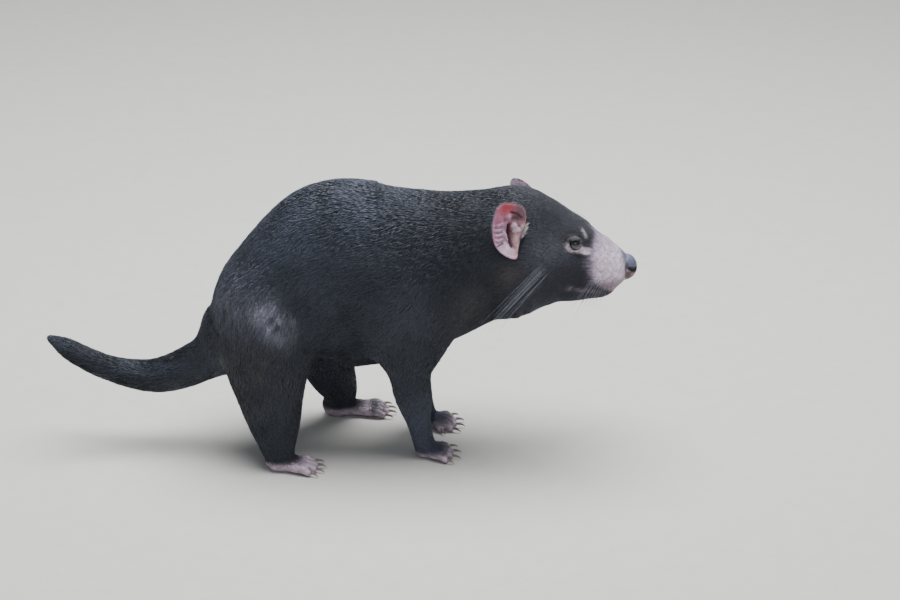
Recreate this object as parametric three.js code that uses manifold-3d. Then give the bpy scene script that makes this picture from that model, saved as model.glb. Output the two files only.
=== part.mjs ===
// A life-size, still model of an adult Tasmanian devil, standing on all four feet with its tail held out behind.
// Millimetres, +X from tail to nose, +Y to the animal's left, +Z up, with the floor at z = 0.
//
// The animal is described by limbs. A limb is a chain of named stations on its centreline, each with a height and a
// width, and its body is what lies nearer to the centreline than that. A field joins the limbs smoothly: it is below
// zero inside the animal and above zero outside, so its zero surface is the coat's outline. The surface is meshed once
// for each named part, and thin cuts divide the parts from each other.

import * as THREE from "three";
import { mergeVertices } from "three/addons/utils/BufferGeometryUtils.js";
import Module from "manifold-3d";

const wasm = await Module();
wasm.setup();

// Driving sizes

const CUT = 0.3; // gap between two parts that meet
const LEFT = 1;
const RIGHT = -1;
const SIDES = [
  ["left", LEFT],
  ["right", RIGHT],
];

// A station: x, y and z of the centreline, with half the height and half the width of the limb there.
const station = (x, y, z, high, wide) => ({ at: new THREE.Vector3(x, y, z), high, wide });

const TRUNK = {
  rump: station(-230.5, 0, 133, 45.5, 45),
  pelvis: station(-191, 0, 172, 72, 64),
  loin: station(-128, 0, 199, 106.5, 71),
  ribs: station(-66, 0, 202, 101, 75),
  chest: station(-10, 0, 212, 86, 71),
  neck: station(38, 0, 223.5, 74.3, 61),
  nape: station(74, 0, 226, 76.4, 58),
  ears: station(98, 0, 224, 66.7, 52),
  crown: station(123, 0, 219.2, 53.5, 43),
  eyes: station(143, 0, 213.5, 45, 34.5),
  bridge: station(159, 0, 210.3, 38, 27.5),
  muzzle: station(171, 0, 209.3, 33.7, 25),
  lips: station(181, 0, 209.2, 25.3, 21),
  noseTip: station(191.5, 0, 208.8, 13.6, 13.5),
};

const TAIL = {
  root: station(-250, 0, 113, 28, 30),
  thick: station(-288, 0, 91.5, 23, 23.5),
  dip: station(-320, 0, 80.3, 20, 19),
  low: station(-348, 0, 80.7, 17.2, 16.7),
  rise: station(-374, 0, 87, 14.6, 14.2),
  middle: station(-398, 0, 97, 13.5, 13),
  upper: station(-422, 0, 111, 12, 11.5),
  tip: station(-441, 0, 123, 7, 7),
};

// Each leg is given on its own side, from the joint inside the body down to the joint above its foot.
const FRONT_LEG = {
  right: [
    station(-34, 44, 185, 50, 29),
    station(-43.5, 50, 132, 39, 24),
    station(-43.5, 49, 102, 24.5, 19),
    station(-39.5, 46, 72, 20.5, 17),
    station(-34.5, 43, 42, 13, 13.5),
    station(-29.5, 42, 20, 11.3, 12.5),
  ],
  left: [
    station(-34, 44, 185, 50, 29),
    station(-46, 50, 132, 37, 24),
    station(-45, 48, 102, 24.5, 19),
    station(-39.5, 44, 72, 19, 16.5),
    station(-33.5, 41, 42, 12.5, 13.3),
    station(-28.5, 40, 20, 10.8, 12.5),
  ],
};
const HIND_LEG = {
  right: [
    station(-196, 34, 165, 56, 36),
    station(-199, 48, 118, 49, 31.5),
    station(-196, 60, 82, 37.5, 25.5),
    station(-192, 67, 52, 28.8, 20),
    station(-189, 72, 28, 20, 16.5),
    station(-187.5, 74, 14, 15, 13.5),
  ],
  left: [
    station(-192, 34, 165, 56, 36),
    station(-166, 48, 116, 46, 30),
    station(-145, 60, 80, 33, 24),
    station(-133, 67, 50, 26.5, 19.5),
    station(-126.5, 71, 28, 19.8, 16),
    station(-130, 73, 14, 14.5, 13.5),
  ],
};

// A foot: its ankle over the floor, the way it points, its sole and its toes.
const FOOT = {
  front: { length: 15, back: 5, wide: 16, high: 8, toes: [-27, -9, 9, 27], thumb: 68, toeLength: 14, toeHigh: 4.5 },
  hind: { length: 38, back: 10, wide: 15.5, high: 8.5, toes: [-16, -5.5, 5.5, 16], thumb: null, toeLength: 17, toeHigh: 4.7 },
  raised: { length: 26, back: 2, wide: 15.5, high: 8.5, toes: [-16, -5.5, 5.5, 16], thumb: null, toeLength: 17, toeHigh: 4.7 },
};
const FEET = {
  front_right: { kind: FOOT.front, x: -24, y: 42, turn: 4 },
  front_left: { kind: FOOT.front, x: -20, y: 40, turn: 3 },
  hind_right: { kind: FOOT.raised, x: -187, y: 74, turn: 8 },
  hind_left: { kind: FOOT.hind, x: -124, y: 73, turn: 3 },
};
const CLAW = { length: 10.5, thick: 2, sides: 5, rings: 3, root: 2.5 };

const EYE = { x: 136, y: 31, z: 247.5, radius: 7.5 };
const LID = { ring: 8, thick: 3, rise: 2.4, squeeze: 1.35, slant: 12 };
const EAR = {
  right: { centre: [63, 53.5, 271], facing: [0.4, 0.86, 0.3] },
  left: { centre: [81, 55, 265.5], facing: [0.68, 0.68, 0.28] },
  halfHigh: 31.2,
  halfWide: 21.5,
  cup: 9,
  thick: 2.6,
  root: 16,
  rings: 5,
  spokes: 22,
};
const NOSE = { x: 197.5, z: 212, long: 9.5, wide: 12.5, high: 11.5 };
const NOSTRIL = { x: 201, y: 8, z: 210, length: 10, wide: 2.6 };
const MOUTH = { corner: [128, 198], middle: [153, 190.5], front: [188, 184.5] };

// Maths that more than one part uses

const toPoint = ([x, y, z], side = 1) => new THREE.Vector3(x, side * y, z);
const radians = THREE.MathUtils.degToRad;

// A smooth smaller-of-two: within k of each other, the two shapes melt together.
function melt(a, b, k) {
  const h = Math.max(k - Math.abs(a - b), 0) / k;
  return Math.min(a, b) - (h * h * k) / 4;
}

// How far a point is outside a limb. The stations are joined by a smooth curve, cut into short straight lengths, and a
// point is measured from the length nearest to it. Its offset from the centreline is stretched sideways by height over
// width, so that a section is an ellipse.
function limb(stations, stepsEach = 3) {
  const centre = new THREE.CatmullRomCurve3(stations.map((s) => s.at), false, "catmullrom", 0.5);
  const sizes = new THREE.CatmullRomCurve3(
    stations.map((s) => new THREE.Vector3(s.high, s.high / s.wide, 0)),
    false,
    "catmullrom",
    0.5,
  );
  const steps = (stations.length - 1) * stepsEach;
  const cones = [];
  for (let i = 0; i < steps; i++) {
    const a = centre.getPoint(i / steps);
    const along = centre.getPoint((i + 1) / steps).sub(a);
    const size = sizes.getPoint(i / steps);
    const next = sizes.getPoint((i + 1) / steps);
    cones.push({ a, along, square: along.lengthSq(), size, grow: next.sub(size) });
  }
  return (x, y, z) => {
    let nearest = Infinity;
    let far = 0;
    for (const { a, along, square, size, grow } of cones) {
      const px = x - a.x;
      const py = y - a.y;
      const pz = z - a.z;
      const t = Math.min(1, Math.max(0, (px * along.x + py * along.y + pz * along.z) / square));
      const ox = px - t * along.x;
      const oy = py - t * along.y;
      const oz = pz - t * along.z;
      const stretched = oy * (size.y + t * grow.y);
      const square2 = ox * ox + oy * oy + oz * oz;
      if (square2 >= nearest) continue;
      nearest = square2;
      const from = Math.sqrt(ox * ox + stretched * stretched + oz * oz);
      far = (from - size.x - t * grow.x) * (from > 1e-6 ? Math.sqrt(square2) / from : 1);
    }
    return far;
  };
}

// A swelling (or a hollow, where rise is below zero) that fades from its centre as a bell curve.
const swelling = (centre, reach, rise) => (x, y, z) => {
  const d2 = (x - centre.x) ** 2 + (y - centre.y) ** 2 + (z - centre.z) ** 2;
  return -rise * Math.exp(-d2 / (reach * reach));
};

// A furrow (or a ridge) along a curve, of the same bell section.
function furrow(points, reach, depth, steps = 12) {
  const curve = new THREE.CatmullRomCurve3(points);
  const line = limb(
    curve.getPoints(steps).map((p) => ({ at: p, high: 1e-3, wide: 1e-3 })),
    1,
  );
  return (x, y, z) => {
    const d = line(x, y, z);
    return d > 3 * reach ? 0 : depth * Math.exp(-(d * d) / (reach * reach));
  };
}

// The feet

// A foot's own frame: forward, sideways (away from the body) and up from the floor under its ankle.
function footPlace(foot, side) {
  const turn = radians(foot.turn) * side;
  const ahead = new THREE.Vector3(Math.cos(turn), Math.sin(turn), 0);
  const out = new THREE.Vector3(-Math.sin(turn), Math.cos(turn), 0).multiplyScalar(side);
  const under = new THREE.Vector3(foot.x, side * foot.y, 0);
  return (forward, sideways, up) =>
    under
      .clone()
      .addScaledVector(ahead, forward)
      .addScaledVector(out, sideways)
      .add(new THREE.Vector3(0, 0, up));
}

// The toes fan out from the front of the sole. A front foot also has a fifth toe, at its inner side.
function toesOf(foot, side) {
  const { length, wide, toes, thumb, toeLength, toeHigh } = foot.kind;
  const place = footPlace(foot, side);
  const spread = toes.map((angle, i) => {
    const across = ((i / (toes.length - 1)) * 2 - 1) * (wide - toeHigh * 0.8);
    const reach = toeLength * (Math.abs(angle) > 10 ? 0.88 : 1);
    return { angle, from: length - 3 - Math.abs(across) * 0.2, across, reach };
  });
  if (thumb) spread.push({ angle: -thumb, from: length * 0.35, across: -wide * 0.75, reach: toeLength * 0.6 });
  return spread.map(({ angle, from, across, reach }) => {
    const a = radians(angle);
    const at = (share, up) => place(from + Math.cos(a) * reach * share, across + Math.sin(a) * reach * share, up);
    return {
      root: at(-0.25, toeHigh + 2),
      knuckle: at(0.5, toeHigh + 2.2),
      tip: at(1, toeHigh - 0.6),
      ahead: at(1, 0).sub(at(0, 0)).normalize(),
      high: toeHigh,
    };
  });
}

function footField(foot, side) {
  const { length, back, wide, high } = foot.kind;
  const place = footPlace(foot, side);
  const onSole = (forward, up, tall, broad) => ({ at: place(forward, 0, up), high: tall, wide: broad });
  const sole = limb([
    onSole(-back, high - 1, high, wide * 0.62),
    onSole(length * 0.3, high - 0.5, high * 1.05, wide * 0.8),
    onSole(length * 0.85, high - 2.5, high * 0.8, wide),
  ]);
  const toes = toesOf(foot, side).map(({ root, knuckle, tip, high: h }) =>
    limb([
      { at: root, high: h, wide: h },
      { at: knuckle, high: h * 0.92, wide: h * 0.95 },
      { at: tip, high: h * 0.78, wide: h * 0.82 },
    ]),
  );
  return (x, y, z) => {
    let d = sole(x, y, z);
    if (d > 60) return d;
    for (const toe of toes) d = melt(d, toe(x, y, z), 3);
    return d;
  };
}

// A claw: a cone that bends down along an arc, with its root inside the toe's tip. Grown, it is its own socket.
function clawGeometry(toe, grow = 0) {
  const { length, thick, sides, rings, root } = CLAW;
  const start = toe.tip.clone().addScaledVector(toe.ahead, toe.high * 0.8 - root - grow);
  start.z += 1;
  const drop = start.z - 1.1;
  const across = new THREE.Vector3(-toe.ahead.y, toe.ahead.x, 0);
  const positions = [];
  for (let i = 0; i < rings; i++) {
    const t = i / rings;
    const centre = start.clone().addScaledVector(toe.ahead, length * Math.sin((t * Math.PI) / 2) ** 0.9);
    centre.z -= drop * t * t;
    const r = thick * (1 - 0.75 * t) + 1.3 * grow;
    const up = new THREE.Vector3(0, 0, 1).addScaledVector(toe.ahead, 0.6 * t).normalize();
    for (let j = 0; j < sides; j++) {
      const a = (j / sides) * 2 * Math.PI;
      const p = centre.clone().addScaledVector(across, 0.8 * r * Math.cos(a)).addScaledVector(up, r * Math.sin(a));
      positions.push(p.x, p.y, p.z);
    }
  }
  const tip = start.clone().addScaledVector(toe.ahead, length);
  tip.z -= drop;
  positions.push(tip.x, tip.y, tip.z, start.x, start.y, start.z);
  const [tipAt, rootAt] = [rings * sides, rings * sides + 1];
  const faces = [];
  for (let j = 0; j < sides; j++) {
    const k = (j + 1) % sides;
    for (let i = 0; i + 1 < rings; i++) {
      const [a, b] = [i * sides + j, i * sides + k];
      faces.push(a, b, b + sides, a, b + sides, a + sides);
    }
    const last = (rings - 1) * sides;
    faces.push(last + j, last + k, tipAt, rootAt, k, j);
  }
  return indexed(positions, faces);
}

// The whole animal

const trunk = limb(Object.values(TRUNK), 7);
const tail = limb(Object.values(TAIL));
const legs = [];
const feet = [];
for (const [name, side] of SIDES) {
  const onSide = (s) => ({ ...s, at: toPoint(s.at.toArray(), side) });
  legs.push(limb(FRONT_LEG[name].map(onSide)), limb(HIND_LEG[name].map(onSide)));
  feet.push(footField(FEET["front_" + name], side), footField(FEET["hind_" + name], side));
}

// The face: what stands out from the plain head or sinks into it, on both sides.
const faceForms = SIDES.flatMap(([, side]) => {
  const at = (x, y, z) => new THREE.Vector3(x, side * y, z);
  const mouth = [
    at(MOUTH.corner[0], 35, MOUTH.corner[1]),
    at(MOUTH.middle[0], 24, MOUTH.middle[1]),
    at(170, 16, 187.2),
    at(179, 5, 186),
  ];
  const lip = mouth.map((p) => p.clone().add(new THREE.Vector3(0, 0, 4)));
  return [
    swelling(at(96, 46, 214), 26, 6), // cheek
    swelling(at(62, 52, 200), 30, 3), // jowl
    swelling(at(132, 30, 262), 11, 1.8), // brow
    swelling(at(137, 36, 247), 9, -3), // eye socket
    swelling(at(148, 30, 240), 10, -3), // hollow before the eye
    swelling(at(170, 21, 203), 13, 2.2), // whisker pad
    swelling(at(132, 40, 230), 15, 2.5), // cheekbone
    swelling(at(197, 4, 221), 8, 1.5), // top of the nose
    furrow(mouth, 2.4, 2.4),
    furrow(lip, 3, -1.3),
  ];
});

// The lids: a ring round each eye, wider than it is high and set aslant.
const lids = SIDES.map(([, side]) => {
  const turn = radians(LID.slant);
  return (x, y, z) => {
    const dx = x - EYE.x;
    const dz = z - EYE.z;
    const dy = side * y - EYE.y;
    if (dx * dx + dz * dz > 400 || dy < -4) return 0;
    const along = dx * Math.cos(turn) - dz * Math.sin(turn);
    const over = (dx * Math.sin(turn) + dz * Math.cos(turn)) * LID.squeeze;
    const off = Math.hypot(along, over) - LID.ring;
    return -LID.rise * Math.exp(-(off * off) / (LID.thick * LID.thick));
  };
});

function animal(x, y, z) {
  let d = trunk(x, y, z);
  d = melt(d, tail(x, y, z), 14);
  if (z < 260) for (const leg of legs) d = melt(d, leg(x, y, z), 20);
  if (z < 60) for (const foot of feet) d = melt(d, foot(x, y, z), 9);
  if (x > 0) {
    for (const form of faceForms) d += form(x, y, z);
    for (const lid of lids) d += lid(x, y, z);
  }
  return d;
}

// From field to mesh

function indexed(positions, faces) {
  const geometry = new THREE.BufferGeometry();
  geometry.setAttribute("position", new THREE.BufferAttribute(new Float32Array(positions), 3));
  geometry.setIndex(faces);
  return geometry;
}

// Grid lines from low to high, whose spacing goes evenly from the first cell's size to the last one's.
function gridLines(low, high, first, last = first) {
  const lines = [low];
  while (lines.at(-1) < high) lines.push(lines.at(-1) + first + ((last - first) * (lines.at(-1) - low)) / (high - low));
  return lines;
}

// The way in which the field falls fastest, times its steepness.
function slope(field, x, y, z) {
  const h = 0.05;
  return [
    (field(x + h, y, z) - field(x - h, y, z)) / (2 * h),
    (field(x, y + h, z) - field(x, y - h, z)) / (2 * h),
    (field(x, y, z + h) - field(x, y, z - h)) / (2 * h),
  ];
}

// The zero surface of a field in a box, capped by the box. Each grid cell that the surface crosses gets one vertex, at
// the mean of the crossings on its edges, and each grid edge that it crosses gets one face of the four cells round it.
// The vertices then slide down the slope onto the surface.
function surfaceOf(field, xs, ys, zs) {
  const size = [xs.length, ys.length, zs.length];
  const stride = [1, size[0], size[0] * size[1]];
  const lines = [xs, ys, zs];
  const values = new Float32Array(size[0] * size[1] * size[2]);
  const isEdge = (i, n) => i === 0 || i === n - 1;
  for (let k = 0; k < size[2]; k++)
    for (let j = 0; j < size[1]; j++)
      for (let i = 0; i < size[0]; i++) {
        const d = field(xs[i], ys[j], zs[k]);
        const capped = isEdge(i, size[0]) || isEdge(j, size[1]) || isEdge(k, size[2]);
        values[i + j * stride[1] + k * stride[2]] = capped ? Math.max(d, 0.5) : d;
      }
  const cellVertex = new Map();
  const positions = [];
  const corners = [...Array(8).keys()].map((c) => [c & 1, (c >> 1) & 1, (c >> 2) & 1]);
  const edges = corners.flatMap((a, i) =>
    [0, 1, 2].filter((axis) => !a[axis]).map((axis) => [i, i + (1 << axis)]),
  );
  for (let k = 0; k + 1 < size[2]; k++)
    for (let j = 0; j + 1 < size[1]; j++)
      for (let i = 0; i + 1 < size[0]; i++) {
        const base = i + j * stride[1] + k * stride[2];
        const v = corners.map(([a, b, c]) => values[base + a + b * stride[1] + c * stride[2]]);
        const inside = v.filter((d) => d < 0).length;
        if (inside === 0 || inside === 8) continue;
        const sum = [0, 0, 0];
        let count = 0;
        for (const [a, b] of edges) {
          if (v[a] < 0 === v[b] < 0) continue;
          const t = v[a] / (v[a] - v[b]);
          [i, j, k].forEach((at, axis) => {
            const from = lines[axis][at + corners[a][axis]];
            const to = lines[axis][at + corners[b][axis]];
            sum[axis] += from + t * (to - from);
          });
          count++;
        }
        cellVertex.set(base, positions.length / 3);
        positions.push(...sum.map((s) => s / count));
      }
  for (let n = 0; n < positions.length; n += 3) settle(field, positions, n, lines);
  const faces = [];
  const index = [0, 0, 0];
  for (index[2] = 1; index[2] + 1 < size[2]; index[2]++)
    for (index[1] = 1; index[1] + 1 < size[1]; index[1]++)
      for (index[0] = 1; index[0] + 1 < size[0]; index[0]++) {
        const base = index[0] + index[1] * stride[1] + index[2] * stride[2];
        const crossings = [0, 1, 2].filter((axis) => values[base] < 0 !== values[base + stride[axis]] < 0);
        for (const axis of crossings) {
          const [u, w] = [stride[(axis + 1) % 3], stride[(axis + 2) % 3]];
          const ring = [base - u - w, base - w, base, base - u].map((cell) => cellVertex.get(cell));
          if (values[base] >= 0) ring.reverse();
          faces.push(...quad(positions, ring));
        }
      }
  // A cell before the first line is needed where the surface is capped, so the lowest planes are walked as well.
  return indexed(positions, faces.concat(lowCaps(values, size, stride, cellVertex, positions)));
}

// The faces of grid edges that start on the box's lowest planes, where the cap lies.
function lowCaps(values, size, stride, cellVertex, positions) {
  const faces = [];
  for (let axis = 0; axis < 3; axis++) {
    const [p, q] = [(axis + 1) % 3, (axis + 2) % 3];
    for (let a = 1; a + 1 < size[p]; a++)
      for (let b = 1; b + 1 < size[q]; b++) {
        const base = a * stride[p] + b * stride[q];
        if (values[base] < 0 === values[base + stride[axis]] < 0) continue;
        const ring = [base - stride[p] - stride[q], base - stride[q], base, base - stride[p]];
        const found = ring.map((cell) => cellVertex.get(cell));
        if (values[base] >= 0) found.reverse();
        faces.push(...quad(positions, found));
      }
  }
  return faces;
}

// Two Newton steps down the slope, for a vertex that isn't on the box's cap.
function settle(field, positions, n, lines) {
  const margin = 1.01;
  for (let axis = 0; axis < 3; axis++) {
    const line = lines[axis];
    const p = positions[n + axis];
    if (p < line[0] + (line[1] - line[0]) * margin || p > line.at(-1) - (line.at(-1) - line.at(-2)) * margin) return;
  }
  for (let step = 0; step < 2; step++) {
    const [x, y, z] = positions.slice(n, n + 3);
    const d = field(x, y, z);
    const g = slope(field, x, y, z);
    const steep = Math.max(g[0] ** 2 + g[1] ** 2 + g[2] ** 2, 0.2);
    for (let axis = 0; axis < 3; axis++) positions[n + axis] -= THREE.MathUtils.clamp((d * g[axis]) / steep, -2, 2);
  }
}

// Two triangles across a quad's shorter diagonal.
function quad(positions, [a, b, c, d]) {
  const apart = (p, q) =>
    Math.hypot(...[0, 1, 2].map((axis) => positions[3 * p + axis] - positions[3 * q + axis]));
  return apart(a, c) < apart(b, d) ? [a, b, c, a, c, d] : [a, b, d, b, c, d];
}

// Cutting and joining

function solidOf(geometry) {
  const bare = new THREE.BufferGeometry().setAttribute("position", geometry.getAttribute("position").clone());
  bare.setIndex(geometry.index);
  const merged = mergeVertices(bare, 1e-4);
  return new wasm.Manifold(
    new wasm.Mesh({
      numProp: 3,
      vertProperties: merged.attributes.position.array,
      triVerts: new Uint32Array(merged.index.array),
    }),
  );
}

function geometryOf(solid) {
  const mesh = solid.getMesh();
  const positions = [];
  for (let i = 0; i < mesh.numVert; i++)
    positions.push(...mesh.vertProperties.subarray(i * mesh.numProp, i * mesh.numProp + 3));
  const geometry = indexed(positions, [...mesh.triVerts]);
  geometry.computeVertexNormals();
  return geometry;
}

// The largest closed body of a solid.
const largest = (solid) => solid.decompose().sort((a, b) => b.volume() - a.volume())[0];

// A block that fills what lies beyond a plane, as far as a limb reaches.
function beyond(point, normal, gap = CUT / 2) {
  const reach = 700;
  const block = new THREE.BoxGeometry(reach, reach, reach);
  block.translate(0, 0, reach / 2 + gap);
  const turn = new THREE.Quaternion().setFromUnitVectors(new THREE.Vector3(0, 0, 1), normal.clone().normalize());
  block.applyQuaternion(turn).translate(point.x, point.y, point.z);
  return solidOf(block);
}

// An upright box from its two far corners.
function box(low, high) {
  const size = high.map((h, i) => h - low[i]);
  const made = new THREE.BoxGeometry(...size);
  made.translate(...low.map((l, i) => l + size[i] / 2));
  return solidOf(made);
}

const group = new THREE.Group();

const FUR = { color: 0x15161b, roughness: 0.75 };
const BARE = { color: 0x4a3d42, roughness: 0.6 };
const finishes = {
  fur: new THREE.MeshStandardMaterial({ ...FUR, metalness: 0 }),
  bare: new THREE.MeshStandardMaterial({ ...BARE, metalness: 0 }),
  ear: new THREE.MeshStandardMaterial({ color: 0xb0646c, roughness: 0.55, metalness: 0 }),
  nose: new THREE.MeshStandardMaterial({ color: 0x23222a, roughness: 0.4, metalness: 0 }),
  eye: new THREE.MeshStandardMaterial({ color: 0x0c0a0c, roughness: 0.05, metalness: 0 }),
  claw: new THREE.MeshStandardMaterial({ color: 0x8f857c, roughness: 0.45, metalness: 0 }),
};

function addPart(name, solid, finish) {
  const mesh = new THREE.Mesh(geometryOf(largest(solid)), finishes[finish]);
  mesh.name = name;
  group.add(mesh);
}

// The cuts between the parts. Each is a point on the centreline and the way that the outer part lies.
const cutAt = (x, z, nx, nz) => ({ point: new THREE.Vector3(x, 0, z), normal: new THREE.Vector3(nx, 0, nz) });
const CUTS = {
  neck: cutAt(14, 216, 1, 0.08),
  head: cutAt(52, 222, 1, 0.2),
  tail: cutAt(-262, 112, -1, -0.7),
  tailMiddle: cutAt(-332, 83, -1, 0),
  tailEnd: cutAt(-392, 95, -1, 0.35),
};
const outside = ({ point, normal }) => beyond(point, normal);
const inside = ({ point, normal }) => beyond(point, normal.clone().negate());

// Where each leg leaves the trunk: a block that holds the whole leg, with its roof leaning out from the body.
const LEG_BLOCK = {
  front_left: { x: [-94, 12], y: 14, roof: 146, lean: 0.9 },
  front_right: { x: [-94, 12], y: 14, roof: 146, lean: 0.9 },
  hind_left: { x: [-230, -110], y: 12, roof: 140, lean: 0.9 },
  hind_right: { x: [-262, -140], y: 12, roof: 140, lean: 0.9 },
};
function legBlock(leg, side, grow = 0) {
  const { x, y, roof, lean } = LEG_BLOCK[leg];
  const room = box(
    [x[0] - grow, side > 0 ? y - grow : -160, -20],
    [x[1] + grow, side > 0 ? 160 : -y + grow, 260],
  );
  const under = beyond(new THREE.Vector3(0, side * 50, roof), new THREE.Vector3(0, side * lean, -1), -grow);
  return room.intersect(under);
}

const floor = box([-600, -200, 0], [400, 200, 500]);

// Trunk: the torso, and the neck ahead of it.

function makeTorso() {
  const whole = solidOf(surfaceOf(animal, gridLines(-290, 40, 15), gridLines(-96, 96, 14), gridLines(60, 330, 14.5)));
  let torso = whole.intersect(inside(CUTS.neck)).intersect(inside(CUTS.tail));
  for (const [name, side] of SIDES)
    for (const kind of ["front_", "hind_"]) torso = torso.subtract(legBlock(kind + name, side, CUT));
  addPart("torso", torso, "fur");
}

function makeNeck() {
  const whole = solidOf(surfaceOf(animal, gridLines(-10, 90, 13), gridLines(-92, 92, 13), gridLines(105, 325, 13)));
  let neck = whole.intersect(outside(CUTS.neck)).intersect(inside(CUTS.head));
  for (const [name, side] of SIDES) neck = neck.subtract(legBlock("front_" + name, side, CUT));
  addPart("neck", withSockets(neck), "fur");
}

function makeTail() {
  const lengths = {
    tail_base: [CUTS.tail, CUTS.tailMiddle, [-350, -232], 10.5],
    tail_middle: [CUTS.tailMiddle, CUTS.tailEnd, [-415, -314], 8.5],
    tail_tip: [CUTS.tailEnd, null, [-462, -372], 7.5],
  };
  for (const [name, [from, to, [low, high], cell]] of Object.entries(lengths)) {
    const whole = solidOf(surfaceOf(animal, gridLines(low, high, cell), gridLines(-58, 58, cell), gridLines(40, 180, cell)));
    const kept = whole.intersect(outside(from));
    addPart(name, to ? kept.intersect(inside(to)) : kept, "fur");
  }
}

// Legs: each is an upper part, a lower part and a foot, with claws.

const LEG_CUTS = {
  front: { knee: 92, ankle: 26, names: ["upper_arm", "forearm", "paw"] },
  hind: { knee: 84, ankle: 27, names: ["thigh", "shank", "foot"] },
};

function makeLeg(kind, sideName, side) {
  const leg = kind + "_" + sideName;
  const [upperName, lowerName, footName] = LEG_CUTS[kind].names.map((part) => leg + "_" + part);
  const foot = FEET[leg];
  const block = LEG_BLOCK[leg];
  const across = (inner, outer) => (side > 0 ? [inner, outer] : [-outer, -inner]);
  const level = (height) => ({ point: new THREE.Vector3(0, 0, height), normal: new THREE.Vector3(0, 0, -1) });
  const knee = level(LEG_CUTS[kind].knee);
  const ankle = level(LEG_CUTS[kind].ankle);

  const upper = solidOf(
    surfaceOf(animal, gridLines(block.x[0] - 17, block.x[1] + 16, 12), gridLines(...across(-2, 112), 12), gridLines(57, 226, 12)),
  );
  const thick = upper.intersect(legBlock(leg, side)).intersect(inside(knee));
  addPart(upperName, thick.intersect(inside(CUTS.tail)), "fur");

  const lowX = [foot.x - 62, foot.x + 52];
  const lower = solidOf(
    surfaceOf(animal, gridLines(...lowX, 9), gridLines(...across(12, 106), 9), gridLines(8, 112, 11)),
  );
  addPart(lowerName, lower.intersect(legBlock(leg, side)).intersect(outside(knee)).intersect(inside(ankle)), "fur");

  const sole = solidOf(
    surfaceOf(animal, gridLines(foot.x - 38, foot.x + 68, 5.6), gridLines(...across(12, 106), 4.7), gridLines(-12, 42, 6)),
  );
  let paw = sole.intersect(outside(ankle)).intersect(floor);
  toesOf(foot, side).forEach((toe, i) => {
    paw = paw.subtract(solidOf(clawGeometry(toe, CUT)));
    addPart(leg + "_claw_" + (i + 1), solidOf(clawGeometry(toe)), "claw");
  });
  addPart(footName, paw, "bare");
}

// Head

function lipCutter() {
  const shape = new THREE.Shape();
  const [corner, middle, front] = [MOUTH.corner, MOUTH.middle, MOUTH.front];
  shape.moveTo(...corner);
  shape.splineThru([middle, front].map((p) => new THREE.Vector2(...p)));
  shape.lineTo(front[0] + 6, 140);
  shape.lineTo(corner[0] - 34, 140);
  shape.lineTo(corner[0] - 14, 174);
  const width = 160;
  const jaw = new THREE.ExtrudeGeometry(shape, { depth: width, bevelEnabled: false, curveSegments: 6 });
  jaw.rotateX(Math.PI / 2);
  jaw.translate(0, width / 2, 0);
  return jaw;
}

function makeHead() {
  const whole = solidOf(
    surfaceOf(animal, gridLines(34, 216, 9.5, 4.1), gridLines(-78, 78, 6.4), gridLines(146, 318, 6.4)),
  );
  const jawRoom = solidOf(lipCutter());
  const grown = jawRoom.translate(0, 0, CUT).add(jawRoom.translate(-CUT, 0, 0)).add(jawRoom);
  const noseBall = (grow) =>
    solidOf(
      new THREE.SphereGeometry(1, 11, 7)
        .scale(NOSE.long + grow, NOSE.wide + grow, NOSE.high + grow)
        .translate(NOSE.x, 0, NOSE.z),
    );
  const noseRoom = noseBall(0);
  const noseGrown = noseBall(CUT);
  let head = whole.intersect(outside(CUTS.head)).subtract(grown).subtract(noseGrown);
  for (const [name, side] of SIDES) {
    const at = [EYE.x, side * EYE.y, EYE.z];
    const socket = new THREE.SphereGeometry(EYE.radius + CUT + 0.1, 14, 10).translate(...at);
    const ball = new THREE.SphereGeometry(EYE.radius, 14, 10).translate(...at);
    head = head.subtract(solidOf(socket));
    addPart("eye_" + name, solidOf(ball), "eye");
  }
  addPart("head", withSockets(head), "fur");
  addPart("lower_jaw", whole.intersect(jawRoom).subtract(noseGrown), "fur");

  let nose = whole.intersect(noseRoom).subtract(grown);
  for (const [, side] of SIDES) {
    const pit = new THREE.SphereGeometry(1, 7, 5);
    pit.scale(NOSTRIL.length / 2, NOSTRIL.wide, NOSTRIL.wide * 0.8).rotateY(radians(-25)).rotateZ(radians(38) * side);
    nose = nose.subtract(solidOf(pit.translate(NOSTRIL.x, side * NOSTRIL.y, NOSTRIL.z)));
  }
  addPart("nose", nose, "nose");
}

// Ears: a rounded dish on a thick root, open to the side and a little forward and up. Each is set in a socket, which
// is its own back with a gap, and opens outward through the head, so that its cup is clear.

// A point of the ear's rim, forward and up from its middle, at a turn round it. The ear is wider and leans forward
// above, and narrows to its lower end.
function earOutline(turn) {
  const up = Math.sin(turn);
  const lean = -0.8 + 9.5 * up + 3 * up ** 2 - 10.5 * up ** 3;
  return [EAR.halfWide * (0.88 + 0.29 * up) * Math.cos(turn) + lean, EAR.halfHigh * up];
}

const hump = (f, u, atF, atU, reachF, reachU) => Math.exp(-(((f - atF) / reachF) ** 2) - ((u - atU) / reachU) ** 2);

// The dish is deepest low and forward. Two lobes stand before the canal, a crest behind it and a lobe below.
const earDish = (f, u) => -EAR.cup * hump(f, u, 4, -8, 13, 17) - 1.5;
const earRoot = (f, u) => EAR.root * Math.exp(-(((f - 5) / 10) ** 4) - ((u + 5) / 16) ** 4);
const earFolds = (f, u) =>
  4.4 * hump(f, u, 10.6, 1.6, 5.5, 5.5) -
  4.5 * hump(f, u, 3.6, -4, 3.2, 9) +
  2.4 * hump(f, u, -3, -5, 3.5, 7) +
  2 * hump(f, u, -1.5, -19.5, 5, 5) -
  2.4 * hump(f, u, 11.5, 12.6, 5, 4);

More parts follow.
